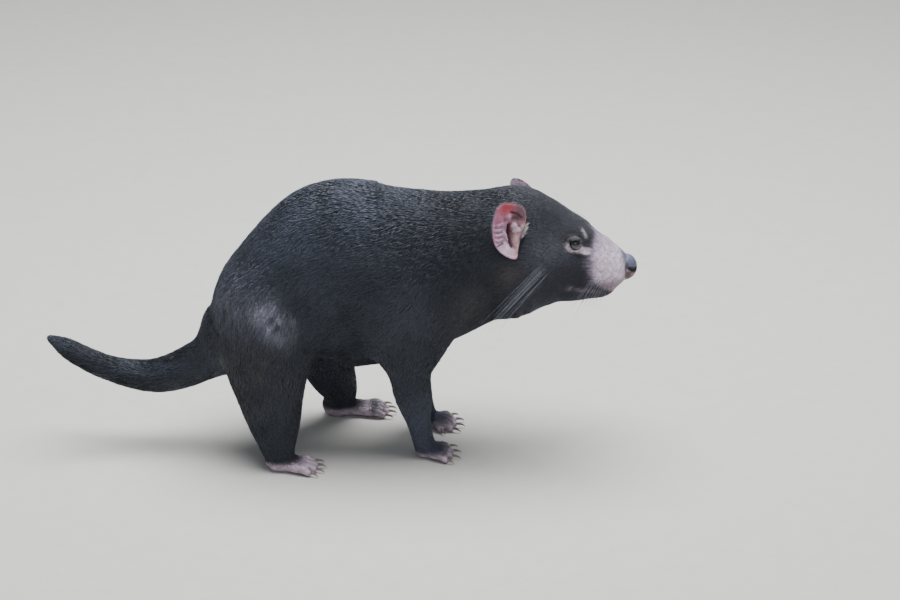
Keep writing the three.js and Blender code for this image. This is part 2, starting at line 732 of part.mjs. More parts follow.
// An ear, or its socket.
function earGeometry(name, side, socket = false) {
  const normal = toPoint(EAR[name].facing, side).normalize();
  const upward = new THREE.Vector3(0, 0, 1).addScaledVector(normal, -normal.z).normalize();
  const forward = new THREE.Vector3().crossVectors(upward, normal).multiplyScalar(-side).normalize();
  if (forward.x < 0) forward.negate();
  const centre = toPoint(EAR[name].centre, side);
  const place = (f, u, n) =>
    centre.clone().addScaledVector(forward, f).addScaledVector(upward, u).addScaledVector(normal, n);
  const grow = socket ? CUT : 0;
  const depth = (f, u, share, back) => {
    const flat = 1 - share ** 6;
    if (back) return earDish(f, u) * flat - EAR.thick * (1 - 0.5 * share ** 6) - earRoot(f, u) - grow;
    return socket ? 30 : (earDish(f, u) + earFolds(f, u)) * flat;
  };
  const positions = [];
  const [rings, spokes] = [EAR.rings, EAR.spokes];
  const sheet = (back) => {
    const middle = place(0, 0, depth(0, 0, 0, back));
    positions.push(middle.x, middle.y, middle.z);
    for (let i = 1; i <= rings; i++)
      for (let j = 0; j < spokes; j++) {
        const share = i / rings;
        const [f, u] = earOutline((j / spokes) * 2 * Math.PI).map((a) => a * share);
        const wider = 1 + grow / 16;
        const p = place(f * wider, u * wider, depth(f, u, share, back));
        positions.push(p.x, p.y, p.z);
      }
  };
  sheet(false);
  sheet(true);
  const backStart = 1 + rings * spokes;
  const faces = [];
  const add = (a, b, c) => (side > 0 ? faces.push(a, b, c) : faces.push(a, c, b));
  for (let j = 0; j < spokes; j++) {
    const k = (j + 1) % spokes;
    const at = (start, ring, spoke) => start + 1 + (ring - 1) * spokes + spoke;
    add(0, at(0, 1, k), at(0, 1, j));
    add(backStart, at(backStart, 1, j), at(backStart, 1, k));
    for (let i = 1; i < rings; i++) {
      const [a, b, c, d] = [at(0, i, j), at(0, i, k), at(0, i + 1, k), at(0, i + 1, j)];
      add(a, b, c);
      add(a, c, d);
      const [e, f, g, h] = [a, b, c, d].map((v) => v + backStart);
      add(e, g, f);
      add(e, h, g);
    }
    const [p, q] = [at(0, rings, j), at(0, rings, k)];
    add(p, q, q + backStart);
    add(p, q + backStart, p + backStart);
  }
  return indexed(positions, faces);
}

// Sockets cut the head and the neck.
const withSockets = (solid) =>
  SIDES.reduce((left, [name, side]) => left.subtract(solidOf(earGeometry(name, side, true))), solid);

function makeEars() {
  for (const [name, side] of SIDES) addPart("ear_" + name, solidOf(earGeometry(name, side)), "ear");
}

makeTorso();
makeNeck();
makeTail();
for (const [name, side] of SIDES) for (const kind of ["front", "hind"]) makeLeg(kind, name, side);
makeHead();
makeEars();

// The origin is on the floor, under the middle of the animal's box.
const bounds = new THREE.Box3().setFromObject(group);
const middle = bounds.getCenter(new THREE.Vector3());
group.position.set(-middle.x, -middle.y, 0);

export default group;
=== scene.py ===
"""A Tasmanian devil, life-size: its skin, short coat, ears, eyes, claws and whiskers, on a plain stage.

The skin is the zero surface of one field of limbs, the same limbs that the solids are made from, drawn in by
the depth of the coat. Lengths in the tables of the animal's form are in millimetres, with the floor at z = 0,
and are brought to the frame's metres and origin by to_frame. The coat is tufts, rooted on the skin and laid
along the body.
"""

import math

import bmesh
import bpy
import numpy as np
from bpy.props import FloatProperty, FloatVectorProperty, IntProperty, PointerProperty
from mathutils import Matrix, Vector


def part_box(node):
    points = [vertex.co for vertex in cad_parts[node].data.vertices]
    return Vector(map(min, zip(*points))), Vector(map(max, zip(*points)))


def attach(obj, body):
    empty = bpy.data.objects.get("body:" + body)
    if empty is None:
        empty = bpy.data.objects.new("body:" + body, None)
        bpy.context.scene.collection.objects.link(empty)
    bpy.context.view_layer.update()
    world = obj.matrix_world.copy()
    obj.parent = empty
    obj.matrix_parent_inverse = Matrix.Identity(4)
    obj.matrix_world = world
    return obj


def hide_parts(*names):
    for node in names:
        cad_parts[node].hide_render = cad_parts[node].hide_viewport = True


bl_info = {
    "name": "Tasmanian devil",
    "version": (1, 0, 0),
    "blender": (4, 5, 0),
    "location": "View3D > Sidebar > Devil",
    "description": "Makes the skin, coat, face and feet of a life-size Tasmanian devil",
    "category": "Object",
}

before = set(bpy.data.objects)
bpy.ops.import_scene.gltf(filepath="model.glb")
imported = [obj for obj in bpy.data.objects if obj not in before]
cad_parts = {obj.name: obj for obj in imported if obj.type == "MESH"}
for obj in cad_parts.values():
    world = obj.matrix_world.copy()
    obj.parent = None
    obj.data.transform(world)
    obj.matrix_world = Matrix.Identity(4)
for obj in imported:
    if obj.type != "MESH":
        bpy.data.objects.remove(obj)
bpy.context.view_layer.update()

# The animal's form, in millimetres

# Stations of a limb: x, y, z of the centreline, then half the height and half the width of the section.
TRUNK = [
    (-230.5, 0, 133, 45.5, 45),
    (-191, 0, 172, 72, 64),
    (-128, 0, 199, 106.5, 71),
    (-66, 0, 202, 101, 75),
    (-10, 0, 212, 86, 71),
    (38, 0, 223.5, 74.3, 61),
    (74, 0, 226, 76.4, 58),
    (98, 0, 224, 66.7, 52),
    (123, 0, 219.2, 53.5, 43),
    (143, 0, 213.5, 45, 34.5),
    (159, 0, 210.3, 38, 27.5),
    (171, 0, 209.3, 33.7, 25),
    (181, 0, 209.2, 25.3, 21),
    (191.5, 0, 208.8, 13.6, 13.5),
]
TAIL = [
    (-250, 0, 113, 28, 30),
    (-288, 0, 91.5, 23, 23.5),
    (-320, 0, 80.3, 20, 19),
    (-348, 0, 80.7, 17.2, 16.7),
    (-374, 0, 87, 14.6, 14.2),
    (-398, 0, 97, 13.5, 13),
    (-422, 0, 111, 12, 11.5),
    (-441, 0, 123, 7, 7),
]
# Each leg is given on its own side, with y out from the middle.
LEGS = {
    "front_right": [
        (-34, 44, 185, 50, 29),
        (-43.5, 50, 132, 39, 24),
        (-43.5, 49, 102, 24.5, 19),
        (-39.5, 46, 72, 20.5, 17),
        (-34.5, 43, 42, 13, 13.5),
        (-29.5, 42, 20, 11.3, 12.5),
    ],
    "front_left": [
        (-34, 44, 185, 50, 29),
        (-46, 50, 132, 37, 24),
        (-45, 48, 102, 24.5, 19),
        (-39.5, 44, 72, 19, 16.5),
        (-33.5, 41, 42, 12.5, 13.3),
        (-28.5, 40, 20, 10.8, 12.5),
    ],
    "hind_right": [
        (-196, 34, 165, 56, 36),
        (-199, 48, 118, 49, 31.5),
        (-196, 60, 82, 37.5, 25.5),
        (-192, 67, 52, 28.8, 20),
        (-189, 72, 28, 20, 16.5),
        (-187.5, 74, 14, 15, 13.5),
    ],
    "hind_left": [
        (-192, 34, 165, 56, 36),
        (-166, 48, 116, 46, 30),
        (-145, 60, 80, 33, 24),
        (-133, 67, 50, 26.5, 19.5),
        (-126.5, 71, 28, 19.8, 16),
        (-130, 73, 14, 14.5, 13.5),
    ],
}
SIDES = {"right": -1, "left": 1}

# A foot: how far its sole goes ahead of the ankle and behind it, its half width and half height, the angles
# of its toes and of its thumb in degrees, and the length and half height of a toe.
FORE_FOOT = dict(
    length=15, back=5, wide=16, high=8, toes=(-27, -9, 9, 27), thumb=68, toe=14, toe_high=4.5
)
HIND_FOOT = dict(
    length=38, back=10, wide=15.5, high=8.5, toes=(-16, -5.5, 5.5, 16), thumb=0, toe=17, toe_high=4.7
)
RAISED_FOOT = {**HIND_FOOT, "length": 26, "back": 2}
# Each foot's kind, the x and y of its ankle, and how many degrees it turns out.
FEET = {
    "front_right": (FORE_FOOT, -24, 42, 4),
    "front_left": (FORE_FOOT, -20, 40, 3),
    "hind_right": (RAISED_FOOT, -187, 74, 8),
    "hind_left": (HIND_FOOT, -124, 73, 3),
}
FOOT_TOP = 30
FEET_FRONT = 60
HIND_FEET_FRONT = -90
TAIL_START = -262

# Swellings and hollows of the face and throat, one side of them: x, y, z, reach and rise.
FACE = [
    (96, 46, 214, 26, 6),  # cheek
    (62, 52, 200, 30, 3),  # jowl
    (132, 30, 262, 11, 1.8),  # brow
    (137, 36, 247, 9, -3),  # eye socket
    (148, 30, 240, 10, -3),  # hollow before the eye
    (170, 21, 203, 13, 2.2),  # whisker pad
    (132, 40, 230, 15, 2.5),  # cheekbone
    (197, 4, 221, 8, 1.1),  # top of the nose
    (189, 5, 225, 7, 0.8),  # between nose and bridge
    (189, 5, 193, 7, 0.8),  # between nose and lip
    (52, 15, 152, 13, 1.7),  # throat
    (76, 18, 155, 8.5, -3.2),  # throat
    (85, 18, 158, 8, 2.0),  # behind the chin
]
MOUTH = [(128, 34, 198), (140, 29, 193.6), (153, 23, 190.5), (166, 17, 188), (176, 8, 186.3), (181.5, 0, 186)]
# The eye: its middle and radius, the way it looks, the half sizes of the opening between its lids, and how
# far the ball lies behind its place in the solids and the opening's middle behind the ball's.
EYE = (136, 31, 247.5)
EYE_RADIUS = 7.5
GAZE = (0.36, 0.91, 0.2)
OPENING = (5.5, 4.8)
BALL_BACK = 1.2
OPENING_BACK = 1.9
OPENING_DOWN = 0.3
BROW_MARK = ((13.2, 14.2), (17.2, 8.2))
# The nose's middle, the half sizes of its pad, and the paths of its groove and of one wing's edge.
NOSE = (197.5, 0, 212)
NOSE_PAD = (9.5, 12.5, 11.5)
NOSE_GROOVE = [(206, 0, 214), (205.5, 0, 204), (200, 0, 196.5), (187, 0, 189)]
NOSE_WING = [(193, 12, 216.5), (191, 12.6, 210), (191.5, 12, 203), (195.5, 9, 197.5)]
EARS = {
    "right": dict(centre=(63, 53.5, 271), facing=(0.4, 0.86, 0.3)),
    "left": dict(centre=(81, 55, 265.5), facing=(0.68, 0.68, 0.28)),
}

# Paths in an ear's own plane: forward and up from its middle.
EAR_CANAL = [(4.0, 6.3, 0), (3.2, -4, 0), (4.8, -18, 0)]
EAR_CREST = [(-3.2, -1.5, 0), (0.0, -4.8, 0), (1.4, -10.2, 0)]
EAR_CREASE = [(-16.5, -15.0, 0), (-5.9, -13.2, 0)]
EAR_STRIP = [(9.6, -6, 0), (8.2, -18, 0), (6.2, -28, 0)]
EAR_ARC = [(6.5, 19.5, 0), (12.5, 17.6, 0), (18, 12, 0)]
# Lobes and hollows of its inner face: rise, forward, up, reach, and how far each is drawn out forward and up.
EAR_LOBES = [
    (3.4, 9.4, 3.6, 2.6, 1, 1.2),  # upper lobe before the canal
    (3.2, 11.2, -0.8, 2.9, 1.3, 1),  # lower lobe before the canal
    (2.8, 17.4, 2.0, 2.0, 1, 1.3),  # lobe on the front edge
    (2.2, 4.2, 14, 2.6, 1, 1),  # knob above them
    (-3.2, 11.5, 12.6, 2.9, 1.5, 1),  # hollow above them
    (2.2, -1.5, -19.5, 4.2, 1, 1),  # lobe below
]


def unit(vector):
    """The vector, or each row of an array of them, divided by its own length."""
    vector = np.asarray(vector, float)
    return vector / np.maximum(np.linalg.norm(vector, axis=-1, keepdims=True), 1e-9)


def mirrored(point, side):
    """The point on the animal's left (side 1) or right (side -1), from the one given for either."""
    return np.array((point[0], side * point[1], point[2]), float)


def frame_shift():
    """The animal's own origin in the frame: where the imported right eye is, less where EYE puts it."""
    low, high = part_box("eye_right")
    return (np.array(low) + np.array(high)) / 2 - mirrored(EYE, -1) / 1000


SHIFT = frame_shift()


def to_frame(points):
    """Points in millimetres as points in the frame's metres: a thousandth of each, plus the shift."""
    return np.asarray(points) / 1000 + SHIFT


def from_frame(points):
    """The reverse of to_frame."""
    return (np.asarray(points) - SHIFT) * 1000


# Fields


def smooth_path(rows, steps):
    """A Catmull-Rom curve through the rows of an array, cut into the given steps between each two rows.

    Between two rows the curve is the cubic that passes through both, with half the chord of the rows around
    each as its slope there.
    """
    rows = np.asarray(rows, float)
    held = np.vstack([2 * rows[0] - rows[1], rows, 2 * rows[-1] - rows[-2]])
    t = np.linspace(0, len(rows) - 1, steps * (len(rows) - 1) + 1)
    i = np.minimum(t.astype(int), len(rows) - 2)
    s = (t - i)[:, None]
    before, start, end, after = held[i], held[i + 1], held[i + 2], held[i + 3]
    rise, fall = (end - before) / 2, (after - start) / 2
    return (
        (2 * s**3 - 3 * s**2 + 1) * start
        + (s**3 - 2 * s**2 + s) * rise
        + (3 * s**2 - 2 * s**3) * end
        + (s**3 - s**2) * fall
    )


class Limb:
    """A smooth centreline with an elliptical section, narrowing and widening along the way.

    The centreline, the height and the height over the width are one cubic of the way along between two
    stations. FAR is the distance given to points past REACH of it, and STEPS the chords between two stations.
    """

    FAR = 60.0
    REACH = 28.0
    STEPS = 2

    def __init__(self, stations):
        rows = np.array([(x, y, z, high, high / wide) for x, y, z, high, wide in stations], np.float32)
        held = np.vstack([2 * rows[0] - rows[1], rows, 2 * rows[-1] - rows[-2]])
        start, end = rows[:-1], rows[1:]
        rise, fall = (end - held[:-3]) / 2, (held[3:] - start) / 2
        square, cube = 3 * (end - start) - 2 * rise - fall, 2 * (start - end) + rise + fall
        self.cubic = np.stack([start, rise, square, cube], 1)
        self.spans = len(rows) - 1
        knots = np.linspace(0, self.spans, self.STEPS * self.spans + 1, dtype=np.float32)
        self.chain = self.at(knots)[0][:, :3]
        room = rows[:, 3].max() + self.REACH
        self.low, self.high = rows[:, :3].min(0) - room, rows[:, :3].max(0) + room

    def at(self, s):
        """The cubics' value, first slope and second slope at s spans along.

        The value is a plus b, c and d times the first three powers of the share of a span.
        """
        span = np.minimum(s.astype(np.int32), self.spans - 1)
        u = (s - span)[:, None]
        a, b, c, d = (self.cubic[span, k] for k in range(4))
        return a + u * (b + u * (c + u * d)), b + u * (2 * c + 3 * u * d), 2 * c + 6 * u * d

    def measure(self, points):
        """How far each point is outside the limb, and the limb's way there.

        The nearest place on the centreline is found among short chords, and then by Newton's steps on the
        curve. A point's offset from it is stretched sideways by height over width. The distance is the
        stretched offset less the height, scaled back by the true offset over the stretched one.
        """
        far = np.full(len(points), self.FAR, np.float32)
        way = np.zeros((len(points), 3), np.float32)
        near = np.flatnonzero(((points > self.low) & (points < self.high)).all(1))
        if not len(near):
            return far, way
        p = points[near].astype(np.float32)
        best = np.full(len(p), 1e12, np.float32)
        s = np.zeros(len(p), np.float32)
        for i, (a, b) in enumerate(zip(self.chain[:-1], self.chain[1:])):
            off, along = p - a, b - a
            t = np.clip(off @ along / (along @ along), 0, 1)
            true = ((off - t[:, None] * along) ** 2).sum(1)
            closer = true < best
            best = np.where(closer, true, best)
            s = np.where(closer, (i + t) / self.STEPS, s)
        for _ in range(2):
            place, slope, bend = self.at(s)
            off = place[:, :3] - p
            speed = (slope[:, :3] ** 2).sum(1)
            steep = np.maximum(speed + (off * bend[:, :3]).sum(1), 0.3 * speed)
            s = np.clip(s - (off * slope[:, :3]).sum(1) / steep, 0, self.spans)
        place, slope, _ = self.at(s)
        off = p - place[:, :3]
        true = (off**2).sum(1)
        wide = np.sqrt(true - off[:, 1] ** 2 + (off[:, 1] * place[:, 4]) ** 2)
        far[near] = (wide - place[:, 3]) * np.sqrt(true) / np.maximum(wide, 1e-6)
        way[near] = unit(slope[:, :3])
        return far, way

    def __call__(self, points):
        return self.measure(points)[0]


def melt(a, b, k):
    """The smaller of two distances, less a quarter of k times the square of how near they are."""
    h = np.maximum(k - np.abs(a - b), 0) / k
    return np.minimum(a, b) - h * h * k / 4


def carve(a, b, k):
    """The form a with b cut out of it, its edge rounded over k: the larger of a and minus b, melted."""
    return -melt(-a, b, k)


def line_distance(points, path, reach):
    """How far each point is from a path, or twice the reach where it is farther than that."""
    path = np.asarray(path, float)
    out = np.full(len(points), 2.0 * reach)
    low, high = path.min(0) - 2 * reach, path.max(0) + 2 * reach
    near = np.flatnonzero(((points > low) & (points < high)).all(1))
    p = points[near]
    best = np.full(len(p), 4.0 * reach * reach)
    for a, b in zip(path[:-1], path[1:]):
        t = np.clip((p - a) @ (b - a) / ((b - a) @ (b - a)), 0, 1)
        best = np.minimum(best, ((p - a - t[:, None] * (b - a)) ** 2).sum(1))
    out[near] = np.sqrt(best)
    return out


def bell(distance, reach):
    """One at no distance, fading to nothing: e to the minus square of distance over reach."""
    return np.exp(-((distance / reach) ** 2))


def ramp(value, start, end):
    """Nought up to start, one past end, and between them three squares less two cubes of the share."""
    s = np.clip((value - start) / (end - start), 0, 1)
    return s * s * (3 - 2 * s)


def spot(points, centre, reach):
    """A bell round a point, alike on both sides of the body."""
    away = np.stack([points[:, 0], np.abs(points[:, 1]), points[:, 2]], 1) - np.array(centre, float)
    return bell(np.linalg.norm(away, axis=1), reach)


def foot_place(leg):
    """The foot's measures, and a function from (forward, outward, up) of its own frame to a point."""
    kind, x, y, turn = FEET[leg]
    side = SIDES[leg.split("_")[1]]
    angle = math.radians(turn) * side
    ahead = np.array((math.cos(angle), math.sin(angle), 0))
    out = np.array((-math.sin(angle), math.cos(angle), 0)) * side
    under = np.array((x, side * y, 0.0))
    return kind, lambda forward, outward, up: under + forward * ahead + outward * out + np.array((0, 0, up))


def toes_of(leg):
    """Each toe of a foot: root, knuckle, tip, heading and half height, fanned out from the sole's front."""
    kind, place = foot_place(leg)
    high, toe = kind["toe_high"], kind["toe"]
    fan = []
    for i, angle in enumerate(kind["toes"]):
        across = (i / (len(kind["toes"]) - 1) * 2 - 1) * (kind["wide"] - high * 0.8)
        reach = toe * (0.88 if abs(angle) > 10 else 1)
        fan.append((angle, kind["length"] - 3 - abs(across) * 0.2, across, reach))
    if kind["thumb"]:
        fan.append((-kind["thumb"], kind["length"] * 0.35, -kind["wide"] * 0.75, toe * 0.6))
    toes = []
    for angle, start, across, reach in fan:
        c, s = math.cos(math.radians(angle)) * reach, math.sin(math.radians(angle)) * reach
        root, knuckle, tip = (
            place(start + c * share, across + s * share, up)
            for share, up in ((-0.25, high + 2), (0.5, high + 2.2), (1, high - 0.6))
        )
        heading = unit(place(start + c, across + s, 0) - place(start, across, 0))
        toes.append((root, knuckle, tip, heading, high))
    return toes


def foot_limbs(leg):
    """The limbs of a foot: its sole, then its toes with their knuckles."""
    kind, place = foot_place(leg)
    high, wide = kind["high"], kind["wide"]
    sole = Limb(
        [
            (*place(-kind["back"], 0, high - 1), high, wide * 0.62),
            (*place(kind["length"] * 0.3, 0, high - 0.5), high * 1.05, wide * 0.8),
            (*place(kind["length"] * 0.85, 0, high - 2.5), high * 0.8, wide),
        ]
    )
    toes = [
        Limb([(*root, h, h), (*knuckle, h * 0.95, h * 0.95), (*tip, h * 0.78, h * 0.82)])
        for root, knuckle, tip, _, h in toes_of(leg)
    ]
    return sole, toes


TRUNK_LIMB = Limb(TRUNK)
TAIL_LIMB = Limb(TAIL)
LEG_LIMBS = {
    leg: Limb([(x, SIDES[leg.split("_")[1]] * y, z, high, wide) for x, y, z, high, wide in rows])
    for leg, rows in LEGS.items()
}
FOOT_LIMBS = {leg: foot_limbs(leg) for leg in LEGS}
NOSTRILS = {
    name: Limb(
        [
            (*mirrored((205.6, 4.2, 210.0), side), 2.6, 2.4),
            (*mirrored((201.5, 9.0, 209.4), side), 2.2, 2.0),
            (*mirrored((195.5, 12.2, 211.8), side), 0.9, 0.9),
        ]
    )
    for name, side in SIDES.items()
}
MOUTH_PATHS = [smooth_path([mirrored(p, side) for p in MOUTH], 4) for side in SIDES.values()]


def lip_distance(points, reach, shift=(0, 0, 0)):
    """How far each point is from the line between the lips, or from that line shifted."""
    return np.minimum(*[line_distance(points, path + np.array(shift), reach) for path in MOUTH_PATHS])


def eye_axes(side):
    """The eye's centre, the way it looks, its long axis towards the nose, and its upward axis."""
    gaze = unit(mirrored(GAZE, side))
    forward = np.array((0.99, 0, -0.12))
    forward = unit(forward - gaze * (forward @ gaze))
    up = np.cross(gaze, forward)
    return mirrored(EYE, side) - BALL_BACK * forward, gaze, forward, up * np.sign(up[2])


def eye_places(points, side):
    """Each point's place by an eye: forward, up and out from the opening's middle, and its ring.

    The ring is the root of the squares of forward and up, each over the opening's half size, and is one on
    the opening's edge.
    """
    centre, gaze, forward, up = eye_axes(side)
    off = points - centre
    u, v, w = off @ forward + OPENING_BACK, off @ up + OPENING_DOWN, off @ gaze
    return u, v, w, np.hypot(u / OPENING[0], v / OPENING[1])


def lid_reach(points, u, v):
    """How far out of the pale skin round an eye a place is: one on the edge of two ovals, melted together."""
    lid = np.hypot((u - 0.5) / 11.5, (v + 3.2) / 7.6)
    streak = np.hypot((u - 17) / 12, (v + 6.5) / 5.0)
    return melt(lid, streak, 0.7) + 0.06 * soft_noise(points, 4, 13)


def ear_axes(name):
    """The ear's middle, and its forward, upward and outward ways."""
    side = SIDES[name]
    outward = unit(mirrored(EARS[name]["facing"], side))
    upward = unit(np.array((0, 0, 1.0)) - outward * outward[2])
    forward = np.cross(upward, outward)
    return mirrored(EARS[name]["centre"], side), forward * np.sign(forward[0]), upward, outward


def ear_outline(turn):
    """The ear's rim, forward and up from its middle.

    Up is the half height times the sine of the turn, a twentieth less at the top. Forward is the cosine times
    a half width that grows with the sine, plus a cubic of the sine that leans the ear's top to the front.
    """
    sizes = bpy.context.scene.devil_ears
    s = np.sin(turn)
    lean = -0.8 + 9.5 * s + 3 * s**2 - 10.5 * s**3
    up = sizes.half_height * 1000 * s * (1 - 0.05 * np.maximum(s, 0))
    return sizes.half_width * 1000 * (0.88 + 0.29 * s) * np.cos(turn) + lean, up


def ear_share(f, u):
    """How far out a place is, from nought in the ear's middle to one on its rim: radius over rim's radius."""
    rim_f, rim_u = ear_outline(np.linspace(0, 2 * math.pi, 181)[:-1])
    rim = np.interp(np.arctan2(u, f), np.arctan2(rim_u, rim_f), np.hypot(rim_f, rim_u), period=2 * math.pi)
    return np.hypot(f, u) / rim


def ear_path(f, u, path, reach):
    """A bell round a path in the ear's plane."""
    flat = np.stack([f.ravel(), u.ravel(), np.zeros(f.size)], 1)
    return bell(line_distance(flat, path, 3 * reach), reach).reshape(f.shape)


def ear_spot(f, u, forward, up, reach, long=1, tall=1):
    """A bell round a place in the ear's plane, drawn out forward and up."""
    return bell(np.hypot((f - forward) / long, (u - up) / tall), reach)


def ear_relief(f, u):
    """How far the ear's inner face stands out of its dish, from the folds of a devil's ear.

    It is a sum of bells round places and paths: the lobes and hollows, the strip below, the crest behind the
    canal, the crease and ribs across the back panel, the arc's fold above, and the canal's slit.
    """
    out = sum(rise * ear_spot(f, u, *place) for rise, *place in EAR_LOBES)
    out += 2.0 * ear_path(f, u, EAR_STRIP, 2.1)
    out += 2.6 * ear_path(f, u, EAR_CREST, 1.7) - 1.9 * ear_path(f, u, EAR_CREASE, 0.9)
    out += 1.0 * ear_path(f, u - 2.2, EAR_ARC, 1.8) - 1.8 * ear_path(f, u, EAR_ARC, 1.1)
    out -= 6.5 * ear_path(f, u, EAR_CANAL, 1.6)
    return out + 0.8 * ear_ribs(f, u)


def ear_ribs(f, u):
    """The creases across the back panel: the sine of the height, faded out at the panel's ends and sides."""
    ends = ramp(-f, 2.5, 6) * ramp(f, -21, -17) * ramp(u, -16, -11) * ramp(-u, -13, -9)
    return (np.sin(u * 1.16 + 0.10 * f + 0.6 * np.sin(f * 0.4)) + 0.35 * np.sin(u * 2.9 + 1)) * ends


def ear_dish(f, u):
    """The ear's dish: its cup times e to the minus squares of how far its lowest place is, less 1.5."""
    cup = bpy.context.scene.devil_ears.cup * 1000
    return -cup * np.exp(-(((f - 4) / 13) ** 2) - ((u + 8) / 17) ** 2) - 1.5


def ear_face(f, u, share):
    """How far out the ear's inner face is: the dish, flat at the rim, plus the relief and a rolled edge."""
    dish = ear_dish(f, u) * (1 - share**7)
    return dish + ear_relief(f, u) * (1 - share**5) + 1.0 * bell(share - 0.94, 0.045)


def in_ear(points, name):
    """How far each point is outside an ear's hollow: behind a plain dish under its folds, or past its rim."""
    centre, forward, upward, outward = ear_axes(name)
    off = points - centre
    f, u, w = off @ forward, off @ upward, off @ outward
    share = ear_share(f, u)
    floor = ear_dish(f, u) * (1 - np.minimum(share, 1) ** 7) - 6.5 * bell(np.hypot(f - 4, (u + 4) / 2), 6)
    return np.maximum(floor - w, (share - 0.96) * 20)


def coat_depth(points):
    """How far the skin lies under the coat's tips: least on muzzle and feet, most on the body and tail."""
    x, z = points[:, 0], points[:, 2]
    along = np.interp(x, (40, 70, 100, 125, 150, 168), (3.4, 2.8, 2.1, 1.5, 0.8, 0.3))
    down = np.interp(z, (8, 28, 60, 110), (0.2, 0.8, 1.9, 3.4))
    down = np.where(x < TAIL_START, 3.4, down)
    return np.minimum(along, down)


def eyelids(points, side, d):
    """The field near an eye: lids over the ball, with their folds, and the opening cut through them."""
    u, v, w, ring = eye_places(points, side)
    ball = np.linalg.norm(points - eye_axes(side)[0], axis=1)
    lid = melt(d, np.maximum(ball - EYE_RADIUS - 1.3, 1 - w), 4)
    front = ramp(w, -2, 2)
    lid -= 0.5 * bell((ring - 1.2) * 5, 1.2) * front
    lid -= 0.7 * bell((ring - 1.35) * 5, 2.2) * front * ramp(v, 0, 3)
    lid += 1.1 * bell((ring - 1.85) * 5, 1.2) * ramp(v, -1, 2.5) * front
    lid += 0.8 * bell((ring - 1.75) * 5, 1.3) * ramp(-v, 0, 3) * front
    corner = np.hypot((u - 5.6) / 2.6, (v + 1.3) / 1.0)
    return carve(lid, np.maximum((np.minimum(ring, corner) - 1) * 4, -w), 0.8)


def close_to(points, place, reach):
    """The numbers of the points that lie within the reach of a place."""
    return np.flatnonzero(((points - place) ** 2).sum(1) < reach**2)


def face_detail(points, d):
    """Adds the fine forms of the head to a field: ear hollows, lids, nostrils, lips and nose grooves."""
    for name, side in SIDES.items():
        near = close_to(points, ear_axes(name)[0], 40)
        if len(near):
            d[near] = carve(d[near], in_ear(points[near], name) - 1.5, 1.5)
        near = close_to(points, eye_axes(side)[0], 24)
        if len(near):
            d[near] = eyelids(points[near], side, d[near])
        near = close_to(points, mirrored((201, 8, 210), side), 16)
        if len(near):
            d[near] = carve(d[near], NOSTRILS[name](points[near]), 1.2)
    near = np.flatnonzero(points[:, 0] > 120)
    p = points[near]
    lip = lip_distance(p, 8)
    above, below = lip_distance(p, 8, (0.8, 0, 3.4)), lip_distance(p, 8, (-1.5, 0, -2.8))
    d[near] += 2.2 * bell(lip, 1.15) - 0.9 * bell(above, 2.2) - 0.4 * bell(below, 1.8)
    d[near] += 0.9 * bell(line_distance(p, NOSE_GROOVE, 4), 0.9)
    pad = np.linalg.norm((p - np.array(NOSE)) / NOSE_PAD, axis=1)
    d[near] += 0.5 * bell((pad - 1.12) * 8, 1.0) * ramp(-p[:, 2], -217, -211) * ramp(p[:, 2], 199, 204)
    return d


def skin_field(points):
    """The skin's field: trunk, tail, legs and feet melted together, with the face's forms, less the coat."""
    d = melt(TRUNK_LIMB(points), TAIL_LIMB(points), 14)
    low = points[:, 2] < 260
    for limb in LEG_LIMBS.values():
        d[low] = melt(d[low], limb(points[low]), 20)
    low = np.flatnonzero(points[:, 2] < 60)
    for sole, toes in FOOT_LIMBS.values():
        p = points[low]
        foot = sole(p)
        for toe in toes:
            foot = melt(foot, toe(p), 3)
        d[low] = melt(d[low], foot, 9)
    front = np.flatnonzero(points[:, 0] > 0)
    p = points[front]
    for x, y, z, reach, rise in FACE:
        for side in SIDES.values():
            d[front] -= rise * bell(np.linalg.norm(p - mirrored((x, y, z), side), axis=1), reach)
    d += coat_depth(points)
    d = face_detail(points, d)
    return np.maximum(d, 0.25 - points[:, 2])


def slope_of(field, points, step=0.12):
    """The field's slope at each point, from its values a small step either way along each axis."""
    moves = np.eye(3) * step
    return np.stack([(field(points + m) - field(points - m)) / (2 * step) for m in moves], 1)


def settle(field, points, rounds):
    """Slides points onto the zero surface: each round takes off the value times slope over slope squared."""
    for _ in range(rounds):
        slope = slope_of(field, points)
        move = field(points)[:, None] * slope / np.maximum((slope**2).sum(1), 0.25)[:, None]
        points = points - np.clip(move, -1.5, 1.5)
    return points


